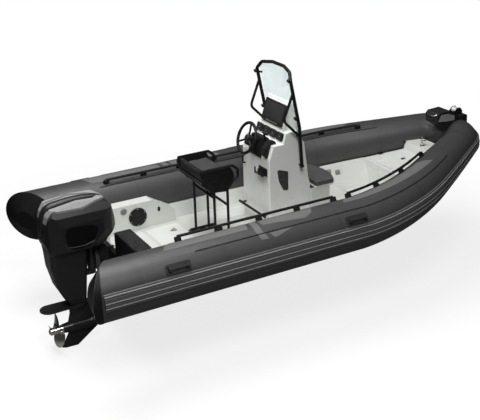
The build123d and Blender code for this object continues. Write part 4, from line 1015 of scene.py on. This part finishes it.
def makeHatchTrim(plan):
    lids, screws, grilles = [], [], []
    for _, side in sides:
        out, right = -axisY * side, axisX * side
        hatch, port = (
            Vector((x, side * (plan["blockY"] - deep), z)) for x, deep, z in (plan["hatch"], plan["port"]))
        lids.append(turnedShape(hatch, out, plan["lid"], 48))
        for k in (1, -1):
            grip = hatch + axisX * k * plan["gripOut"] + out * plan["gripLift"]
            lids.append(plateShape(grip, right, axisZ, *plan["grip"]))
        for angle in plan["screws"]:
            seat = hatch - out * plan["screwSink"] + turned(axisX, axisZ, angle)[0] * plan["screwCircle"]
            screws.append(boltShape(seat, out, *plan["screw"]))
        grilles.append(turnedShape(port, out, plan["portRing"], 32))
        for k in range(-2, 3):
            bar = port + axisZ * k * plan["barPitch"]
            grilles.append(plateShape(bar, right, axisZ, plan["bars"][abs(k)], *plan["bar"]))
    shapePiece("hatchLids", lids, "blackPlastic", "dark_plastic")
    shapePiece("hatchScrews", screws, "steel", "stainless")
    shapePiece("portGrilles", grilles, "greyPlastic", "grey_plastic")


deckPanels = dict(
    # first x, last x, middle y, width
    places=[(0.20, 0.62, 0.280, 0.51), (0.66, 1.04, 0.270, 0.49), (2.76, 3.10, 0.220, 0.39),
            (3.14, 3.46, 0.160, 0.27), (1.42, 1.98, 0.445, 0.23), (2.02, 2.60, 0.445, 0.23)],
    edge=(0.0018, 0.035, 6),
)


def makeDeckPanels(plan):
    # moulded non-slip panels on the sole
    shapes, z = [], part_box("sole")[1][2]
    for x0, x1, y, wide in plan["places"]:
        for _, side in sides:
            middle = Vector(((x0 + x1) / 2, side * y, z))
            shapes.append(plateShape(middle, axisX, axisY, x1 - x0, wide, *plan["edge"]))
    shapePiece("solePanels", shapes, "lidDeck", "deck_moulding")


cowlMarks = {
    # corners as (x, z) on the cowl's side; a patch has a finish, a slot and its height too
    "patches": {
        # the recess is not sunk into the cowl: its patch is painted shade
        "cowlRecessPaintedShade": ("paintedRecessShade", "motor_paint", 0.0010, [
            (-0.455, 0.520), (-0.440, 0.575), (-0.400, 0.598), (-0.300, 0.594), (-0.180, 0.578),
            (-0.128, 0.550), (-0.126, 0.505), (-0.170, 0.425), (-0.225, 0.372), (-0.300, 0.355),
            (-0.380, 0.366), (-0.435, 0.410)]),
        "cowlStrip": ("motorSatin", "motor_grey", 0.0030, [
            (-0.240, 0.322), (-0.195, 0.316), (-0.020, 0.445), (-0.020, 0.508), (-0.060, 0.480)]),
    },
    "upperLip": [(-0.470, 0.440), (-0.440, 0.375), (-0.392, 0.330), (-0.320, 0.310), (-0.240, 0.312)],
    "cell": (0.02, 0.02), "lipHigh": 0.002, "lipRadius": 0.006,
}


def makeCowlMarks(plan):
    for tag, side in sides:
        mapper = sideMapper("cowl", side)
        for name, (finish, slot, high, outline) in plan["patches"].items():
            layPatch(name + tag, outline, mapper, finish, slot, plan["cell"], high, body="motor")
        route = [mapper(x, z, plan["lipHigh"]) for x, z in smoothRoute(plan["upperLip"])]
        lip = routeShape(route, plan["lipRadius"], 8)
        shapePiece("cowlLip" + tag, [lip], "motorSatin", "motor_paint", "motor")


cowlSpine = dict(
    line=[(-0.632, 0.500), (-0.622, 0.600), (-0.588, 0.700), (-0.536, 0.760), (-0.400, 0.782),
          (-0.269, 0.790), (-0.120, 0.784), (-0.040, 0.775), (0.020, 0.750)],
    half=0.046, high=0.040, sink=0.006, around=12, endRise=0.02,
)


def makeCowlSpine(plan):
    # the raised spine along the cowl's top, sunk into it at both ends
    line, around, endRise = smoothRoute(plan["line"]), plan["around"], plan["endRise"]
    last = len(line) - 1
    points = []
    for k, (x, z) in enumerate(line):
        fore, aft = line[min(k + 1, last)], line[max(k - 1, 0)]
        way = Vector((fore[0] - aft[0], 0, fore[1] - aft[1])).normalized()
        out = Vector((-way.z, 0, way.x))
        rise = sin(pi * (endRise + (1 - 2 * endRise) * k / last)) ** 0.4
        half = plan["half"] * (1 + rise) / 2
        for a in (pi * n / around for n in range(around + 1)):
            lift = plan["high"] * rise * sin(a) ** 0.7 - plan["sink"]
            points.append(tuple(Vector((x, -cos(a) * half, z)) + out * lift))
    mesh = turnOutward(meshFrom("cowlSpine", points, ringFaces(len(line), around + 1)))
    newPiece("cowlSpine", mesh, "motorPaint", "motor_paint", "motor")


screenClamps = dict(
    places=[(1.985, 0.330, 1.641), (1.943, -0.330, 1.678), (2.039, 0.330, 1.236), (2.037, -0.330, 1.265)],
    block=[(0, 12), (3, 17), (30, 17), (33, 12)], blockShift=(-0.016, 0, 0.012),
    blockAxis=(0.6, 0, -0.8), bolt=(9, 8), boltShift=(-0.014, 0, 0), boltAxis=(-1, 0, 0.2),
)


def makeScreenClamps(plan):
    # the blocks that hold the screen's struts to its frame
    tree, shapes = cadTree("windscreen_frame"), []
    for place in plan["places"]:
        spot = tree.find_nearest(Vector(place))[0]
        start = spot + Vector(plan["blockShift"])
        shapes.append(turnedShape(start, plan["blockAxis"], plan["block"], 20))
        start = spot + Vector(plan["boltShift"])
        shapes.append(boltShape(start, plan["boltAxis"], *plan["bolt"]))
    shapePiece("screenClamps", shapes, "blackPlastic", "dark_plastic")


smallSet = dict(
    # start and way of a ray that finds the place, then the plate's right, up and size
    latches=[
        *(((x, y, 0.5), -axisZ, axisX, axisY, (0.060, 0.034, 0.006, 0.010))
          for x, y in ((3.693, 0.400), (3.883, 0.330), (3.766, 0.023))),
        ((0.870, 0.3, 0.211), axisY, axisX, axisZ, (0.030, 0.052, 0.005, 0.012)),
    ],
    eye=((0.923, 0.358, 0.2), -axisZ, axisX, axisY, (0.075, 0.045, 0.004, 0.012)),
    ring=(0.020, 0.018, 0.004, 0.004),          # half width, height, lift and wire
    marks=[(3.083, 0.3, 0.180), (3.185, 0.3, 0.166)], mark=(0.060, 0.060, 0.004, 0.012),
    markRing=[(0, 20), (3, 19), (3, 12), (1, 11)], markLift=0.003, sink=0.001,
)


def makeSmallFittings(plan):
    # latches on the bow deck and a wall, an eye in the sole, square marks on the port liner
    deck = cadTree("bow_deck", "locker_lid", "sole", "liner_port", "quarter_blocks", "transom")

    def landPlate(start, way, right, up, size):
        return plateShape(landOn(deck, start, way)[0] + way * plan["sink"], right, up, *size)

    latches = [landPlate(*latch) for latch in plan["latches"]]
    shapePiece("deckLatches", latches, "blackPlastic", "dark_plastic")
    spot = landOn(deck, *plan["eye"][:2])[0]
    half, high, lift, wire = plan["ring"]
    ring = [spot + Vector((half * cos(a), 0, lift + high * sin(a))) for a in halfTurn]
    shapePiece("floorEye", [landPlate(*plan["eye"]), routeShape(ring, wire, 8)], "steel", "stainless")
    marks = []
    for start in plan["marks"]:
        spot, normal = landOn(deck, start, axisY)
        normal = normal if normal.y < 0 else -normal
        right = (axisX - normal * axisX.dot(normal)).normalized()
        marks.append(plateShape(spot - normal * plan["sink"], right, normal.cross(right), *plan["mark"]))
        marks.append(turnedShape(spot + normal * plan["markLift"], normal, plan["markRing"], 24))
    shapePiece("linerMarks", marks, "greyPlastic", "grey_plastic")


bowTrim = dict(
    panel=[(4.158, 0.785), (4.190, 0.862), (4.300, 0.858), (4.392, 0.826), (4.398, 0.770), (4.300, 0.768)],
    cell=(0.03, 0.03), panelHigh=0.0025,
    bail=(0.012, 0.868), bailSize=(0.030, 0.078, 0.022), wire=0.006,
)


def makeBowTrim(plan):
    for tag, side in sides:
        layPatch("bowPanel" + tag, plan["panel"], sideMapper("bow_plate", side), "motorPanel", "grey_plastic",
                 plan["cell"], plan["panelHigh"])
    (x, z), (reach, half, drop) = plan["bail"], plan["bailSize"]
    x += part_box("bow_plate")[0][0]
    bail = [(x - reach * sin(a), -half * cos(a), z - drop * sin(a)) for a in halfTurn]
    shapePiece("bowBail", [routeShape(bail, plan["wire"])], "steel", "stainless")


makeHatchTrim(hatchSet)
makeDeckPanels(deckPanels)
makeCowlMarks(cowlMarks)
makeCowlSpine(cowlSpine)
makeScreenClamps(screenClamps)
makeSmallFittings(smallSet)
makeBowTrim(bowTrim)
print("hull fittings made")

# ---- floor and light ----

stageSet = dict(
    middle=(1.6, 0, -0.795), floor=[(-10, 9000), (0, 9000)], fade=(2.9, 5.4),
    floorColor=0.27, floorGlow=0.80, worldLevel=0.035,
    # place, aim, power and size
    topLamp=((0.4, 0.3, 5.6), (1.6, 0, 0), 330.0, 4.5),
    sideLamp=((-0.6, -5.0, 6.6), (1.6, 0, 0.4), 300.0, 3.0),
)
white = (1, 1, 1, 1)


def seenMask(tree):
    # 1 for what the camera sees, straight or through glass
    path = addNode(tree, "LightPath")
    return mathNode(tree, "MAXIMUM", path["Is Camera Ray"], path["Is Transmission Ray"])[0]


def makeFloor(plan):
    mesh = meshFrom("floor", *turnedShape(plan["middle"], axisZ, plan["floor"], 64))
    floor = addObject("floor", mesh)
    material, tree, shader = startMaterial("floorPaper")
    seen = seenMask(tree)
    grain = useGroup(tree, grainGroup, Color=rgba(plan["floorColor"]), Clouds=0.0, Scale=200.0)
    feed(tree, shader, Base_Color=grain["Color"], Roughness=0.9, Specular_IOR_Level=0.0, Emission_Color=white,
         Emission_Strength=times(tree, seen, plan["floorGlow"]))
    paper = addNode(tree, "Emission", Strength=seen)
    place = addNode(tree, "TexCoord")["Object"]
    shift = mathNode(tree, "SUBTRACT", place, plan["middle"], kind="VectorMath")[0]
    far = mathNode(tree, "LENGTH", shift, kind="VectorMath")["Value"]
    fade = remap(tree, far, *plan["fade"], kind="SMOOTHSTEP")
    mixed = addNode(tree, "MixShader", _0=fade, _1=shader.outputs[0], _2=paper[0])
    feed(tree, tree.nodes["Material Output"], Surface=mixed[0])
    mesh.materials.append(material)


def makeWorld():
    scene.world = bpy.data.worlds.new("studio")
    scene.world.use_nodes = True
    tree = scene.world.node_tree
    level = remap(tree, seenMask(tree), newLow=stageSet["worldLevel"])
    feed(tree, tree.nodes["Background"], Color=white, Strength=level)


def makeLamp(name):
    place, aim, power, size = stageSet[name]
    data = bpy.data.lights.new(name, "AREA")
    data.energy, data.size, data.shape = power, size, "DISK"
    lamp = addObject(name, data)
    lamp.location = place
    lamp.rotation_euler = (Vector(aim) - Vector(place)).to_track_quat("-Z", "Y").to_euler()


makeFloor(stageSet)
makeWorld()
makeLamp("topLamp")
makeLamp("sideLamp")
scene.view_settings.view_transform = "Standard"
print("floor, world and lamps set")
